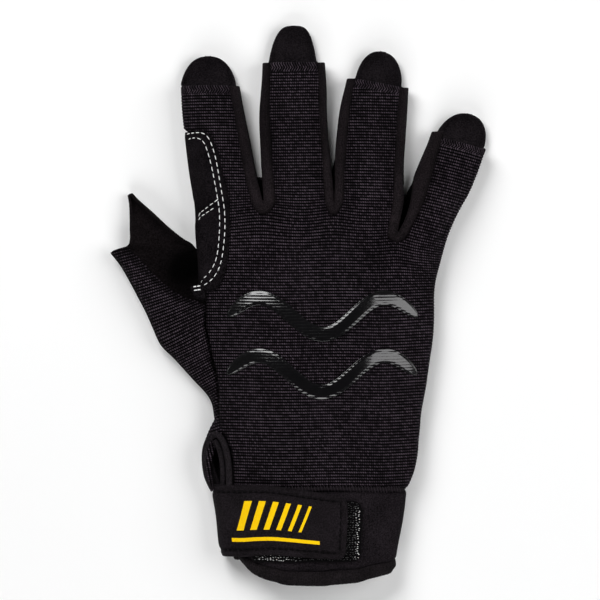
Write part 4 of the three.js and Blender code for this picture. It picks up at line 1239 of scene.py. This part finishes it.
KNIT = knit_material()
SUEDE = suede_material("suede", (11, 9, 11), (36, 32, 35))
PATCH_SUEDE = suede_material("patch_suede", (0.5, 0.5, 1), (32, 28, 31))
THUMB_SUEDE = suede_material("thumb_suede", (2, 2, 2), (31, 27, 29), (15, 10, 10))
FOURCHETTE = jersey_material("fourchette_jersey", (10, 8, 9), (40, 34, 37))
LINING = jersey_material("lining_jersey", (8, 7, 8), (20, 17, 19))
CUFF = jersey_material("cuff_knit", (4, 3, 4), (39, 34, 38), 0.6, 0.7)
STRAP = strap_material()
TAPE = tape_material("binding_tape", (7, 6, 6), (38, 33, 36), 0.5)
ROLL = tape_material("slit_tape", (8, 7, 8), (46, 41, 45), 0.5)
WHITE = thread_material("white_thread", (255, 255, 255), 0.6)
DARK = thread_material("dark_thread", (9, 8, 9), 0.9)
SEAM = thread_material("seam_cord", (27, 23, 26), 0.9)
GREY = thread_material("seam_thread", (46, 40, 45), 0.9)
GLOSS = gloss_material()
HOOK_BASE = hook_material("hook_base", (5, 4, 5), (16, 14, 15), 0.7, 0.05)
HOOKS = hook_material("hook_ends_painted_glint", (14, 13, 14), (255, 255, 255), 0.35, 0.4)

# Ribbed back. A bump of the ribs at a fork: its pixel, rise and width
FORK_BUMPS = [(262, 213, 1.75, 10.5), (333, 214, 1.15, 7.5), (397, 239, 0.9, 7)]
PINKY_TURN = math.radians(15)
PINKY_PIXEL = (405, 240)
PLEAT_PIXEL = (235, 452)


def knit_place(x, y):
    """Cloth coordinates of the back: across the loops and along the rows of ribs."""
    u, v = x.copy(), y.copy()
    for px, py, rise, wide in FORK_BUMPS:
        fx, fy = at_pixel(px, py)
        fall = bell(y - fy, np.where(y < fy, 12.5, 8))
        v = v - rise * bell(x - fx, wide) * fall
    v = v - 0.8 * smooth((x - 24) / 26) * smooth((38 - y) / 20)
    px, py = at_pixel(*PINKY_PIXEL)
    turned_v = (x - px) * math.sin(PINKY_TURN) + (y - py) * math.cos(PINKY_TURN) + py
    turned_u = (x - px) * math.cos(PINKY_TURN) - (y - py) * math.sin(PINKY_TURN) + px
    share = smooth((x - 30) / 12) * smooth((y - 24) / 22)
    share = np.where(y > py + 4, smooth((x - 35) / 3), share)
    return mix(u, turned_u, share), mix(v, turned_v, share)


def rib_relief(v, depth=RIB_DEPTH):
    return depth * (np.abs(np.sin(math.pi * v / RIB)) ** 0.8 - 0.6)


def back_patch(columns, rows):
    """Part of the ribbed back, with its seams, hems and gathers."""
    column, row = np.meshgrid(columns, rows)
    p = back_point(column, row)
    x, y = p[..., 0], p[..., 1]
    u, v = knit_place(x, y)
    side = np.maximum(1 - column, 0) - np.maximum(column - 8, 0)
    u = u - side * 8
    line, share = split(clamp(column, 1, 8))
    low = between(back_line_across, (line + 1).astype(float), row)
    high = between(back_line_across, np.minimum(line + 2, 8).astype(float), row)
    near = np.minimum(share, 1 - share) * np.maximum(high - low, 0.1)
    fork = np.where(line >= 5, PINKY_BASE, 1.0)
    finger = (line % 2 == 0) & (row > fork - 0.02)
    on_side = (column < 1) | (column > 8)
    outer_edge = (column <= 1.001) & (row > 0.8) | (column >= 8)
    groove = np.where(finger & ~on_side & ~outer_edge, bell(near, SEAM_GROOVE), 0)
    fork_edge = np.where(line % 2 == 1, bell((fork - row) * HAND_LENGTH, 0.55), 0)
    first, second = (between(back_line_across, np.full_like(column, k), row) for k in (1, 2))
    to_seam = (column - 1) * (second - first)
    thumb_seam = np.where((column >= 1) & (row < THUMB_TOP + 0.02), bell(to_seam, 0.6), 0)
    wrist = bell(row * HAND_LENGTH, 0.9)
    shade = clamp(0.75 * groove + 0.6 * fork_edge + 0.7 * thumb_seam + 0.6 * wrist, 0, 0.85)
    past = (2 - row) / (2 - fork) * np.where(line >= 5, 46, 50)
    hem = np.where((row > 1.3) & (line % 2 == 0), clamp((HEM - past) / HEM), 0)
    hemmed = smooth(hem * 10)
    gather = bell(to_seam - 1.5, 3.0) * np.sin(2 * math.pi * v / 3.1)
    gather = gather * smooth((row - 0.3) / 0.1) * smooth((0.62 - row) / 0.08)
    px, py = at_pixel(*PLEAT_PIXEL)
    pleat = bell(x - px, 4.5) * bell(y - py, 11) * np.sin(2 * math.pi * (y + 0.35 * x) / 3.9)
    relief = rib_relief(v) * (1 - hemmed) + 0.12 * hemmed
    relief += -0.4 * groove - 0.3 * fork_edge - 0.7 * thumb_seam - 0.5 * wrist + 0.16 * gather + 0.34 * pleat
    return patch(p, stack(u, v), relief, stack(hem, shade))


ROW_STEP = 0.3
COLUMN_SHARE = 1.0


def interval(start, count):
    count = max(3, int(round(count * COLUMN_SHARE)))
    edge = np.linspace(0, 1, count + 1)
    return start + mix(edge, (1 - np.cos(math.pi * edge)) / 2, 0.45)


def chain(parts):
    return np.concatenate([parts[0], *[part[1:] for part in parts[1:]]])


def make_back():
    wide = {k: 26 if k % 2 == 0 else 8 for k in range(7)}
    step = ROW_STEP / HAND_LENGTH
    all_columns = chain([interval(k + 1, wide[k]) for k in range(7)])
    to_ring = chain([interval(k + 1, wide[k]) for k in range(5)])
    low = chain([spread(0, THUMB_TOP, step), spread(THUMB_TOP, PINKY_BASE, step)])
    side_rows = spread(THUMB_TOP, PINKY_BASE, step)
    fork = spread(PINKY_BASE, 1, step)
    finger = {k: spread(1, 2, ROW_STEP / FINGERS["length"][k]) for k in range(4)}
    longest = spread(1, 2, ROW_STEP / 50)
    left, right = np.linspace(0, 1, 9), np.linspace(8, 9, 9)
    pinky = chain([fork, longest])
    return [
        back_patch(all_columns, low),
        back_patch(to_ring, fork),
        back_patch(right, low),
        back_patch(left, chain([side_rows, fork, longest])),
        back_patch(interval(1, 26), longest),
        back_patch(interval(3, 26), finger[1]),
        back_patch(interval(5, 26), finger[2]),
        back_patch(interval(7, 26), pinky),
        back_patch(right, pinky),
    ]


BACK = thicken(weld(make_back()), CLOTH_WALL, closed=False, lip=1.5)
piece(
    "back_knit", BACK, KNIT, ["back_panel"],
    flat=(134, 178), area=17200,
)


def make_lining():
    """Smooth inner face of the back, seen through the finger openings and the wrist."""
    parts = []
    lowest = np.linspace(0.0, 1, 60)
    for k in range(7):
        columns = np.linspace(k + 1, k + 2, 9)
        rows = lowest if k < 5 else np.linspace(0, PINKY_BASE, 54)
        if k % 2 == 0:
            rows = chain([rows, np.linspace(rows[-1], 1.995, 40)])
        column, row = np.meshgrid(columns, rows)
        parts.append(patch(over_back(clamp(column, 1.02, 7.98), row, -CLOTH_WALL - 0.12)))
    return weld(parts)


piece(
    "back_lining", thicken(make_lining(), 0.25), LINING,
    flat=(100, 172), area=13800,
)


# Palm
def palm_patch(columns, rows):
    column, row = np.meshgrid(columns, rows)
    p = palm_point(column, row)
    x, y = p[..., 0], p[..., 1]
    crease = 0.22 * bell(y - 22 - 0.12 * x, 1.4) + 0.2 * bell(y + 4 + 0.3 * x, 1.6)
    return patch(p, None, -crease, flip=True)


def strip_columns(k, count=22):
    edge = np.linspace(0, 1, count + 1)
    return k + mix(edge, (1 - np.cos(math.pi * edge)) / 2, 0.6)


def make_palm():
    columns = chain([strip_columns(k, 20 if k % 2 else 6) for k in range(1, 8)])
    to_ring = columns[columns <= 6.0001]
    low, middle = spread(0, 0.21, 0.012), spread(0.21, PALM_PINKY_BASE, 0.012)
    fork = spread(PALM_PINKY_BASE, 1, 0.012)
    finger = spread(1, 2, 0.03)
    tongue = 2 + np.sin(np.linspace(0, math.pi / 2, 22))
    parts = [
        palm_patch(columns, low),
        palm_patch(columns, middle),
        palm_patch(to_ring, fork),
        palm_patch(np.linspace(0, 1, 9), low),
        palm_patch(strip_columns(7, 20), spread(PALM_PINKY_BASE, 2, 0.03)),
    ]
    parts += [palm_patch(strip_columns(k, 20), finger) for k in (1, 3, 5)]
    parts += [palm_patch(strip_columns(k, 20), tongue) for k in (1, 3, 5, 7)]
    return weld(parts)


piece(
    "palm_suede", thicken(make_palm(), SUEDE_WALL), SUEDE, ["palm_panel"],
    flat=(128, 192), area=17800,
)


# Strips between the fingers
def make_fourchette(fork):
    at = chain([spread(0, 0.4, 0.008), spread(0.4, 0.6, 0.005), spread(0.6, 1, 0.008)])
    at, up = np.meshgrid(at, np.linspace(0, 1, 33))
    p = fork_point(fork, at, up)
    length = at * 110
    wrinkle = 0.12 * np.sin(length / 1.3) * bell(at - 0.5, 0.2) + 0.1 * np.sin(length / 5.1 + up * 2)
    near_fork = smooth((0.26 - np.abs(at - 0.5)) / 0.12)
    deep_shadow = near_fork * smooth((BAND_END - 0.02 - up) / 0.1)
    second_side_shade = 0.22 * (fork[0] == 1) * smooth((at - 0.62) / 0.1)
    # Painted shade: darker along the top seam and the foot, on the middle finger's side of the first strip,
    # and near black below the welt where the strip dives between the fingers.
    shade = clamp(second_side_shade + 0.5 * bell(up - 1, 0.09) + 0.45 * bell(up, 0.15) + 0.97 * deep_shadow, 0, 0.97)
    return weld([patch(p, stack(up * 9, length), -wrinkle, shaded(shade))])


FOURCHETTE_AREAS = {
    "fourchette_index_middle": 1150,
    "fourchette_middle_ring": 1120,
    "fourchette_ring_pinky": 1100,
}
for fork_name, fork in FORKS.items():
    area = FOURCHETTE_AREAS[fork_name]
    body = thicken(make_fourchette(fork), FOURCHETTE_WALL)
    piece(
        fork_name + "_jersey", body, FOURCHETTE, [fork_name],
        flat=(14, area / 12), area=area,
    )


# Suede patches on the index side
def patch_grid(side, end_row):
    even = np.linspace(0, 1, 61)
    share, t = np.meshgrid(np.linspace(0, 1, 45), mix(even, np.sin(even * math.pi / 2), 0.5))
    cut = PATCH_SPLIT_ROW + PATCH_SPLIT_SLOPE * share
    row = mix(cut + GAP / HAND_LENGTH, end_row, t) if side > 0 else mix(cut, end_row, t)
    column = mix(0.3, 1 + curve(PATCH_ROWS, "row", "edge", row), share)
    p = over_back(column, row, PATCH_WALL + 1.5 * GAP)
    edge = bell((1 - share) * 12, 0.9) + bell((1 - t) * 20, 0.9) + bell(t * 20, 0.9)
    pressed = bell((1 - share) * 12 - 2.1, 0.8) * 0.28 + bell(t * 20 - 1.2, 0.8) * 0.2
    shade = shaded(0.35 * clamp(edge))
    return weld([patch(p, None, -0.3 * clamp(edge) - pressed, shade, flip=side < 0)])


piece(
    "patch_upper_suede", thicken(patch_grid(1, 1.6), PATCH_WALL), PATCH_SUEDE, ["patch_upper"],
    flat=(22, 38), area=660,
)


# Pixels of the tab's edges, from end to end
TAB_LEFT, TAB_RIGHT = (191, 197), (204, 205.5)
TAB_TOP, TAB_BOTTOM = (288, 284), (301, 299)


def make_tab():
    """Small tab under the lower patch, over the end of the thumb's opening."""
    side, t = np.meshgrid(np.linspace(0, 1, 15), np.linspace(0, 1, 20))
    px = mix(mix(*TAB_LEFT, t), mix(*TAB_RIGHT, t), side)
    py = mix(mix(*TAB_TOP, side), mix(*TAB_BOTTOM, side), t)
    x, y = at_pixel(px, py)
    z = 11.6 + 1.6 * side + 0.7 * arch(side) - 0.8 * t
    shade = 0.5 * bell((1 - t) * 14, 1.5)
    return weld([patch(stack(x, y, z), None, None, shaded(shade), flip=True)])


LOWER_PATCH = join([thicken(patch_grid(-1, 0.685), PATCH_WALL), thicken(make_tab(), PATCH_WALL)])
piece(
    "patch_lower_suede", LOWER_PATCH, PATCH_SUEDE, ["patch_lower"],
    flat=(22, 37), area=650,
)


def on_patch(pixels, lift, step=0.25):
    """Smooth line over the patch through pixels of the photograph, with its upward directions."""
    x, y = at_pixel(*np.array(pixels, float).T)
    line = resample(rounded(stack(x, y)), step)
    column, row = place_on_back(line[:, 0], line[:, 1])
    column = clamp(column, 0.4, 8)
    normal = surface_normal(back_point, column, row)
    return back_point(column, row) + normal * lift, normal


# Pixels of the stitch rows on the patches, and of the two bartacks with their heights
OUTER_ROW = [
    (183, 134), (190, 133.2), (198, 132.6), (203, 132.8), (207, 135), (210, 139.5), (213, 148), (217, 163),
    (221, 190), (225, 213), (226.5, 235), (223.5, 262), (217, 277), (208, 285), (199, 289),
]
INNER_ROW = [
    (185.5, 139.5), (192, 138), (198, 137.6), (202, 139), (205.5, 142.5), (208.5, 151), (213, 168),
    (217, 192), (220.5, 213), (221.5, 235), (219, 258), (213, 271), (206, 279), (197, 284.5),
]
DIVIDER_ROWS = [[(197.4, 217), (206, 210), (218.5, 199.8)], [(197.6, 221), (207, 214), (219.5, 205)]]
BARTACKS = [[(193, 287), (196.5, 286.6), (201, 286)], [(193.5, 290.6), (197, 290.2), (202, 289.6)]]
BARTACK_HEIGHTS = [12.4, 12.95, 13.5]


def make_white_stitches():
    top = PATCH_WALL + 1.5 * GAP - 0.1
    parts = []
    for seed, pixels in enumerate([OUTER_ROW, INNER_ROW, *DIVIDER_ROWS]):
        line, normal = on_patch(pixels, top)
        parts.append(dashes(line, normal, 2.9, 1.95, 0.18, 0.02, seed=seed + 3))
    for seed, pixels in enumerate(BARTACKS):
        x, y = at_pixel(*np.array(pixels, float).T)
        line = resample(np.column_stack([x, y, np.array(BARTACK_HEIGHTS) - 0.2 * seed]), 0.2)
        parts.append(dashes(line, np.tile([0, 0, 1.0], (len(line), 1)), 1.6, 1.5, 0.24, 0.0, seed=seed + 20))
    return join(parts)


piece("patch_stitches", make_white_stitches(), WHITE)


# Thumb. Its ribs turn round a line through these places
THUMB_MIDDLE_Y = [-31, 0, 20, 41]
THUMB_MIDDLE_X = [-41, -47, -60, -74]


def thumb_knit_place(p):
    """Cloth coordinates of the thumb, whose ribs rise to the right."""
    x, y = p[..., 0], p[..., 1]
    middle = np.interp(y, THUMB_MIDDLE_Y, THUMB_MIDDLE_X)
    v = y.copy()
    for _ in range(4):
        angle = np.radians(mix(13, 27, smooth((32 - v) / 50)))
        v = y - (x - middle) * np.tan(angle)
    return x * np.cos(angle) + y * np.sin(angle), v * np.cos(angle) * THUMB_PITCH


def make_thumb_back():
    rows = chain([np.linspace(0, THUMB_SEAM_ROW, 130), np.linspace(THUMB_SEAM_ROW, THUMB_LAST_ROW, 240)])
    side, row = np.meshgrid(np.linspace(0, 1, 90), rows)
    p = thumb_back_point(side, row)
    u, v = thumb_knit_place(p)
    width = np.linalg.norm(p[:, -1] - p[:, 0], axis=-1)[:, None]
    from_rim, from_foot = (1 - side) * width, side * width
    seam = smooth((row - 3.9) / 0.3)
    groove = bell(from_rim, 0.6) * seam
    hem = smooth((4.0 - from_rim) / 1.8) * (1 - seam)
    tip = smooth((0.35 - row) / 0.1)
    gather = bell(from_rim - 2.5, 3.2) * seam * np.sin(2 * math.pi * v / 2.6) * smooth((row - 5) / 1.5)
    relief = rib_relief(v) * (1 - 0.5 * hem) - 0.7 * groove - 0.4 * bell(from_foot, 0.8) + 0.2 * gather
    relief += 0.25 * np.sin(row * 3.1 + side * 2) * arch(side) - 0.1 * tip
    shade = clamp(clamp(0.75 * groove + 0.4 * bell(from_foot, 0.9), 0, 0.85) + 0.6 * hem, 0, 0.9)
    return weld([patch(p, stack(u, v), relief, shaded(shade), flip=True)])


# Pixels and heights down both sides of the web, and across the slit's outer edge from row to row
WEB_LEFT = table("x y z", (221, 398, 3.4), (218, 414, 3), (214, 422, 3.2), (208, 433, 4.2), (205, 441, 5.6))
WEB_RIGHT = table("x y z", (224, 398, 10), (223, 412, 11), (223, 422, 11.3), (223, 433, 11), (220, 440, 9.5))
SLIT_TOP, SLIT_BOTTOM = 443, 490
SLIT_LEFT = table(
    "y x", (443, 206), (447, 203.6), (453, 202.6), (463, 203.6), (474, 205.2), (483, 208), (490, 212.5)
)
SLIT_RIGHT = table(
    "y x",
    (443, 215),
    (446, 215),
    (452, 213.5),
    (462, 211),
    (467, 210.4),
    (471, 211.6),
    (476, 211.2),
    (490, 213.5),
)


def pixel_line(rows, step):
    """Smooth line through pixels of the photograph at their heights."""
    return resample(rounded(stack(*at_pixel(rows["x"], rows["y"]), rows["z"])), step)


def web_edge(rows, places):
    line = pixel_line(rows, 0.05)
    return line[(places * (len(line) - 1)).astype(int)]


def make_web():
    """Narrow ribbed strip between the thumb's seam and the top of the slit."""
    side = np.linspace(0, 1, 25)[None, :, None]
    left, right = (web_edge(rows, np.linspace(0, 1, 60)) for rows in (WEB_LEFT, WEB_RIGHT))
    p = mix(left[:, None], right[:, None], side) + np.array([0, 0, WEB_RISE]) * arch(side)
    v = p[..., 1] - 0.35 * p[..., 0]
    return weld([patch(p, stack(p[..., 0], v), rib_relief(v), flip=True)])


def make_slit_side():
    """Puffy ribbed edge on the outer side of the slit."""
    side, rows = np.meshgrid(np.linspace(0, 1, 20), np.linspace(SLIT_TOP, SLIT_BOTTOM, 70))
    left, right = (np.interp(rows, edge["y"], edge["x"]) for edge in (SLIT_LEFT, SLIT_RIGHT))
    x, y = at_pixel(mix(left, right, side), rows)
    z = 7.6 + 2.2 * np.sqrt(arch(side))
    v = x * 0.97 + y * 0.2
    return weld([patch(stack(x, y, z), stack(y, v), rib_relief(v, 0.2), flip=True)])


THUMB_SKINS = [thicken(make_skin(), CLOTH_WALL) for make_skin in (make_thumb_back, make_web, make_slit_side)]
piece(
    "thumb_knit", join(THUMB_SKINS), KNIT, ["thumb_back"],
    flat=(46, 88), area=1560,
)


# Middle of the shadow painted into the thumb's suede, where it runs under the index.
THUMB_SHADOW_PIXEL = (184, 267)


def make_thumb_front():
    rows = chain([np.linspace(0, 9, 90), np.linspace(9, 15, 60)])
    side, row = np.meshgrid(np.linspace(0, 1, 45), rows)
    p = thumb_front_point(side, row)
    crease = 0.3 * bell(p[..., 1] - 34 + 0.4 * p[..., 0] + 24, 1.8)
    shadow_x, shadow_y = at_pixel(*THUMB_SHADOW_PIXEL)
    right, up = p[..., 0] - shadow_x, p[..., 1] - shadow_y
    away = ((right - 0.35 * up) / 8.2) ** 2 + (up / 8) ** 2
    # Painted shadow: darker towards the seam with the hand, except near the tongue's end, and near black
    # round the shadow's middle.
    deep = 0.28 * smooth((side - 0.3) / 0.6) * smooth((13 - row) / 4) + 0.9 * np.exp(-(away**1.2))
    return weld([patch(p, None, -crease, shaded(clamp(deep, 0, 0.9)), flip=True)])


piece(
    "thumb_suede", thicken(make_thumb_front(), SUEDE_WALL), THUMB_SUEDE, ["thumb_front"],
    flat=(46, 112), area=2350,
)


# Bindings of the slit: pixels and heights along each roll
OUTER_ROLL = table(
    "x y z",
    (229, 487, 12.4),
    (228.5, 470, 12.6),
    (226.5, 454, 12.2),
    (222.5, 440, 11.4),
    (216.5, 434, 10.4),
    (210, 438, 9.4),
    (205, 447, 8.8),
    (203.5, 459, 8.6),
    (205.5, 474, 8.4),
    (209, 483, 8.2),
    (213.5, 491, 8),
)
INNER_ROLL = table(
    "x y z", (223, 487, 10.6), (222.5, 470, 10.8), (220.5, 456, 10.4), (217.5, 446, 9.8), (214.5, 441, 9.2)
)


def make_roll(rows, radius):
    line = pixel_line(rows, 0.3)
    wobble = 1 + 0.05 * np.sin(np.arange(len(line)) * 0.3 * 2 * math.pi / 0.75)
    return tube(line, radius * wobble, 14, squash=0.9)


OUTER_NODES = ["slit_roll_back", "slit_roll_palm"]
piece("slit_binding_outer", make_roll(OUTER_ROLL, 1.3), ROLL, OUTER_NODES)
piece("slit_binding_inner", make_roll(INNER_ROLL, 1.15), ROLL, ["slit_roll_inner"])


# Cuff
BINDING_START = 1 - BINDING_HEIGHT / CUFF_HEIGHT
BINDING_GAP = 3 * GAP / CUFF_HEIGHT / 0.7


def cuff_skin(downs):
    """Places round the cuff and down it, and the points there."""
    at = chain([spread(0, 7, 0.05), spread(7, 8, 0.1), spread(8, 15, 0.08), np.linspace(15, 16, 13)])
    at, down = np.meshgrid(at, downs)
    return at, down, cuff_point(at, down)


def make_cuff():
    _, down, p = cuff_skin(np.linspace(0, BINDING_START, 46))
    x, y = p[..., 0], p[..., 1]
    soft = 0.3 * np.sin(x / 6 + 1) * np.sin(y / 7) + 0.15 * np.sin(x / 2.7 + y / 9)
    seam = clamp(bell(down * CUFF_HEIGHT, 1.0) + bell((BINDING_START - down) * CUFF_HEIGHT, 0.9))
    return weld([patch(p, stack(x, y), soft - 0.7 * seam, shaded(0.75 * seam), flip=True)])


def make_binding():
    at, down, p = cuff_skin(np.linspace(BINDING_START + BINDING_GAP, 1, 12))
    t = (down - BINDING_START) / (1 - BINDING_START)
    relief = 0.75 * arch(clamp(t)) - 0.3 + 0.06 * np.sin(at * 40)
    return weld([patch(p, stack(down * 40, at * 9.2), relief, flip=True)])


piece(
    "cuff_cloth", thicken(make_cuff(), CUFF_WALL), CUFF, ["cuff"],
    flat=(154, 36), area=5000,
)
piece(
    "cuff_binding_tape", thicken(make_binding(), BINDING_WALL), TAPE, ["cuff_binding"],
    flat=(140, 10), area=950,
)


# Seam between the hand and the cuff, with its overlock thread
def make_wrist_seam():
    x = np.linspace(-33, 37, 420)
    row = np.full_like(x, 0.002)
    lines = by_line(back_line_across, 0.002)
    column = 1 + np.interp(x, lines, np.arange(8))
    base = back_point(column, row) + surface_normal(back_point, column, row + 0.003) * 0.15
    ridge = tube(base + np.array([0, -0.4, -0.2]), 0.75 + 0.08 * np.sin(x * 5.2) + 0.06 * np.sin(x * 1.9), 10)
    return base, ridge


SEAM_LINE, SEAM_RIDGE = make_wrist_seam()
piece("wrist_seam", SEAM_RIDGE, SEAM)


def make_overlock():
    """Thread that winds over the wrist seam in short slanted turns."""
    generator = np.random.default_rng(7)
    line = resample(SEAM_LINE, 0.1)
    parts = []
    for start in np.arange(4, len(line) - 16, 13):
        jitter = generator.uniform(-0.25, 0.25, 2)
        a, b = line[start], line[start + 7]
        t = np.linspace(0, 1, 7)[:, None]
        across = 0.95 - 2.3 * t + jitter[0]
        mid = a + (b - a) * t + np.array([0, 1, 0]) * across + np.array([0, 0, 1]) * (0.75 * arch(t) - 0.15)
        parts.append(tube(mid, 0.17, 6))
    return join(parts)


piece("wrist_overlock", make_overlock(), GREY)


# Hook tape and strap
def make_hook_tape():
    at, across = np.meshgrid(np.linspace(0, 1, 90), np.linspace(0, 1, 50))
    return weld([patch(hook_point(at, across), None, flip=True)])


piece(
    "hook_tape_base", thicken(make_hook_tape(), HOOK_WALL), HOOK_BASE, ["hook_tape"],
    flat=(44, 24), area=1020,
)


def painted_hook_glint(at, across):
    """How much glint is painted into a hook's colour: most along the tape's end and its lower left edge."""
    end = 4.0 * bell(1 - at, 0.035) * smooth(across * 5)
    corner = 3.0 * bell(across - 1, 0.06) * bell(at - 0.2, 0.13)
    return max(end, corner) + 0.06


def make_hooks():
    """Small bent hooks on the part of the tape that shows."""
    generator = np.random.default_rng(11)
    parts = []
    for x in np.arange(0.02, 0.995, 1.05 / HOOK_REACH):
        for y in np.arange(0.02, 0.985, 1.0 / HOOK_WIDTH):
            if x < 0.84 and y < 0.88:
                continue
            at = x + generator.uniform(-0.006, 0.006)
            across = y + generator.uniform(-0.012, 0.012)
            foot = hook_point(at, across)
            turn = generator.uniform(-0.7, 0.7) + (math.pi if generator.random() < 0.5 else 0)
            reach = np.array([math.cos(turn), math.sin(turn), 0]) * 0.34
            t = np.linspace(0, 1, 6)[:, None]
            rise = np.array([0, 0, 0.55]) * np.sin(t * math.pi * 0.72)
            mid = foot + reach * (1 - np.cos(t * math.pi * 0.8)) / 1.8 + rise
            hook = tube(mid, 0.13, 5, up=(math.sin(turn), -math.cos(turn), 0.01))
            # Painted glint, carried in the first value of the fit layer.
            glint = painted_hook_glint(at, across) * generator.uniform(0.3, 1.1) ** 2
            hook["fit"] = hook["fit"] + np.array([glint, 0])
            parts.append(hook)
    return join(parts)


piece("hook_tape_hooks", make_hooks(), HOOKS)


def strap_grid():
    end = 1 - 0.08 * (1 - np.sin(np.linspace(0, math.pi / 2, 24)))
    at = chain([np.linspace(-1, 0, 50), np.linspace(0, 0.92, 120), end])
    at, across = np.meshgrid(at, np.linspace(0, 1, 61))
    p = strap_point(at, across)
    edge = np.minimum(across, 1 - across) * STRAP_WIDTH
    end = np.where(at > 0, (1 - at) * STRAP_REACH, 99)
    near = np.minimum(edge, end)
    bend = np.linspace(-1, 0, 200)
    turn = strap_point(bend, np.full(200, 0.5))
    lengths = lengths_along(turn)
    u = np.where(at > 0, at * STRAP_REACH, np.interp(at, bend, lengths) - lengths[-1])
    pillow = 0.5 * smooth(near / 4.5) - 0.32 * bell(near - STRAP_SEAM, 0.55) - 0.15 * bell(near, 0.5)
    soft = 0.22 * np.sin(u / 6.5 + 1) * np.sin(across * 5)
    shade = 0.25 * bell(near - STRAP_SEAM, 0.6)
    uv = stack(u, across * STRAP_WIDTH)
    return weld([patch(p, uv, pillow - 0.3 + soft, shaded(shade), flip=True)])


piece(
    "strap_cloth", thicken(strap_grid(), STRAP_WALL), STRAP, ["strap"],
    flat=(67, 26), area=1700,
)


def make_strap_stitches():
    parts = []
    inset = STRAP_SEAM / STRAP_WIDTH
    end = 1 - 2.4 / STRAP_REACH
    t = np.linspace(-0.6, end, 220)
    for seed, across in enumerate((inset, 1 - inset)):
        line = resample(strap_point(t, np.full_like(t, across)), 0.3)
        up = np.tile([0, 0.05, 1.0], (len(line), 1))
        parts.append(dashes(line, up, 2.5, 1.8, 0.24, 0.05, seed=seed + 40))
    across = np.linspace(inset, 1 - inset, 60)
    line = resample(strap_point(np.full_like(across, end), across), 0.3)
    parts.append(dashes(line, np.tile([0, 0, 1.0], (len(line), 1)), 2.5, 1.8, 0.24, 0.05, seed=44))
    return join(parts)


piece("strap_stitches", make_strap_stitches(), DARK)


# Raised print: two smooth waves
def make_wave(middle):
    at, side = np.meshgrid(np.linspace(0, 1, 300), np.linspace(0, 1, 25))
    angle = 2 * math.pi * WAVE_TURNS * at
    span = (WAVE_RIGHT - WAVE_LEFT) * HAND_WIDTH
    slope = np.cos(angle) * WAVE_RISE * 2 * math.pi * WAVE_TURNS / span
    bend = 1 / np.hypot(1, slope)
    fade = np.sqrt(np.maximum(0.02, 1 - np.abs(2 * at - 1) ** 10))
    offset = (side - 0.5) * WAVE_WIDTH * fade
    x = mix(WAVE_LEFT, WAVE_RIGHT, at) * HAND_WIDTH - slope * bend * offset
    y = along(middle) + WAVE_RISE * np.sin(angle) + bend * offset
    p = on_back(x, y, GAP + PRINT_WALL)
    _, v = knit_place(x, y)
    edge = np.minimum(side, 1 - side) * WAVE_WIDTH
    relief = 0.25 * smooth(edge / 1.1) - 0.3 + 0.35 * rib_relief(v)
    return weld([patch(p, stack(x, v), relief)])


for wave, middle in WAVE_PLACES.items():
    body = thicken(make_wave(middle), PRINT_WALL)
    piece(f"print_{wave}_gloss", body, GLOSS, [f"print_wave_{wave}"])


# Floor, light and camera
def add_floor():
    data = bpy.data.meshes.new("floor")
    corners = [(-1, -1), (1, -1), (1, 1), (-1, 1)]
    data.from_pydata([(x * FLOOR_SIZE, y * FLOOR_SIZE, 0) for x, y in corners], [], [(0, 1, 2, 3)])
    floor = bpy.data.objects.new("floor", data)
    floor.location.z = -FLOOR_GAP
    floor.data.materials.append(floor_material())
    bpy.context.scene.collection.objects.link(floor)


def add_light(name, location, size, power):
    """Soft square lamp that points at the glove."""
    data = bpy.data.lights.new(name, "AREA")
    data.shape = "RECTANGLE"
    data.size, data.size_y = size
    data.energy = power
    lamp = bpy.data.objects.new(name, data)
    bpy.context.scene.collection.objects.link(lamp)
    lamp.location = location
    direction = -lamp.location
    lamp.rotation_mode = "QUATERNION"
    lamp.rotation_quaternion = direction.to_track_quat("-Z", "Y")


def add_sky(tree):
    """Studio walls brighter than the ceiling, so that flat glossy faces stay dark."""
    coordinates = tree.nodes.new("ShaderNodeTexCoord")
    parts = tree.nodes.new("ShaderNodeSeparateXYZ")
    tree.links.new(coordinates.outputs["Generated"], parts.inputs[0])
    level = tree.nodes.new("ShaderNodeMapRange")
    tree.links.new(parts.outputs[2], level.inputs["Value"])
    levels = {"From Min": 0.35, "From Max": 0.95, "To Min": SKY_WALLS, "To Max": SKY_CEILING}
    for name, value in levels.items():
        level.inputs[name].default_value = value
    tree.links.new(level.outputs[0], tree.nodes["Background"].inputs["Strength"])


def add_camera():
    data = bpy.data.cameras.new("camera")
    data.lens = 500
    data.sensor_width = 36
    data.clip_start, data.clip_end = 0.05, 20
    camera = bpy.data.objects.new("camera", data)
    camera.location = CAMERA_PLACE
    bpy.context.scene.collection.objects.link(camera)
    bpy.context.scene.camera = camera


add_floor()
add_light("key", (-0.5, 0.75, 0.9), (0.7, 0.7), 12)
add_light("fill", (0.9, 0.1, 0.8), (0.9, 0.9), 8)
add_light("low", (-0.1, -0.9, 0.6), (0.8, 0.5), 5)
world = bpy.data.worlds.new("studio")
world.use_nodes = True
add_sky(world.node_tree)
bpy.context.scene.world = world
bpy.context.scene.view_settings.view_transform = "Standard"
add_camera()
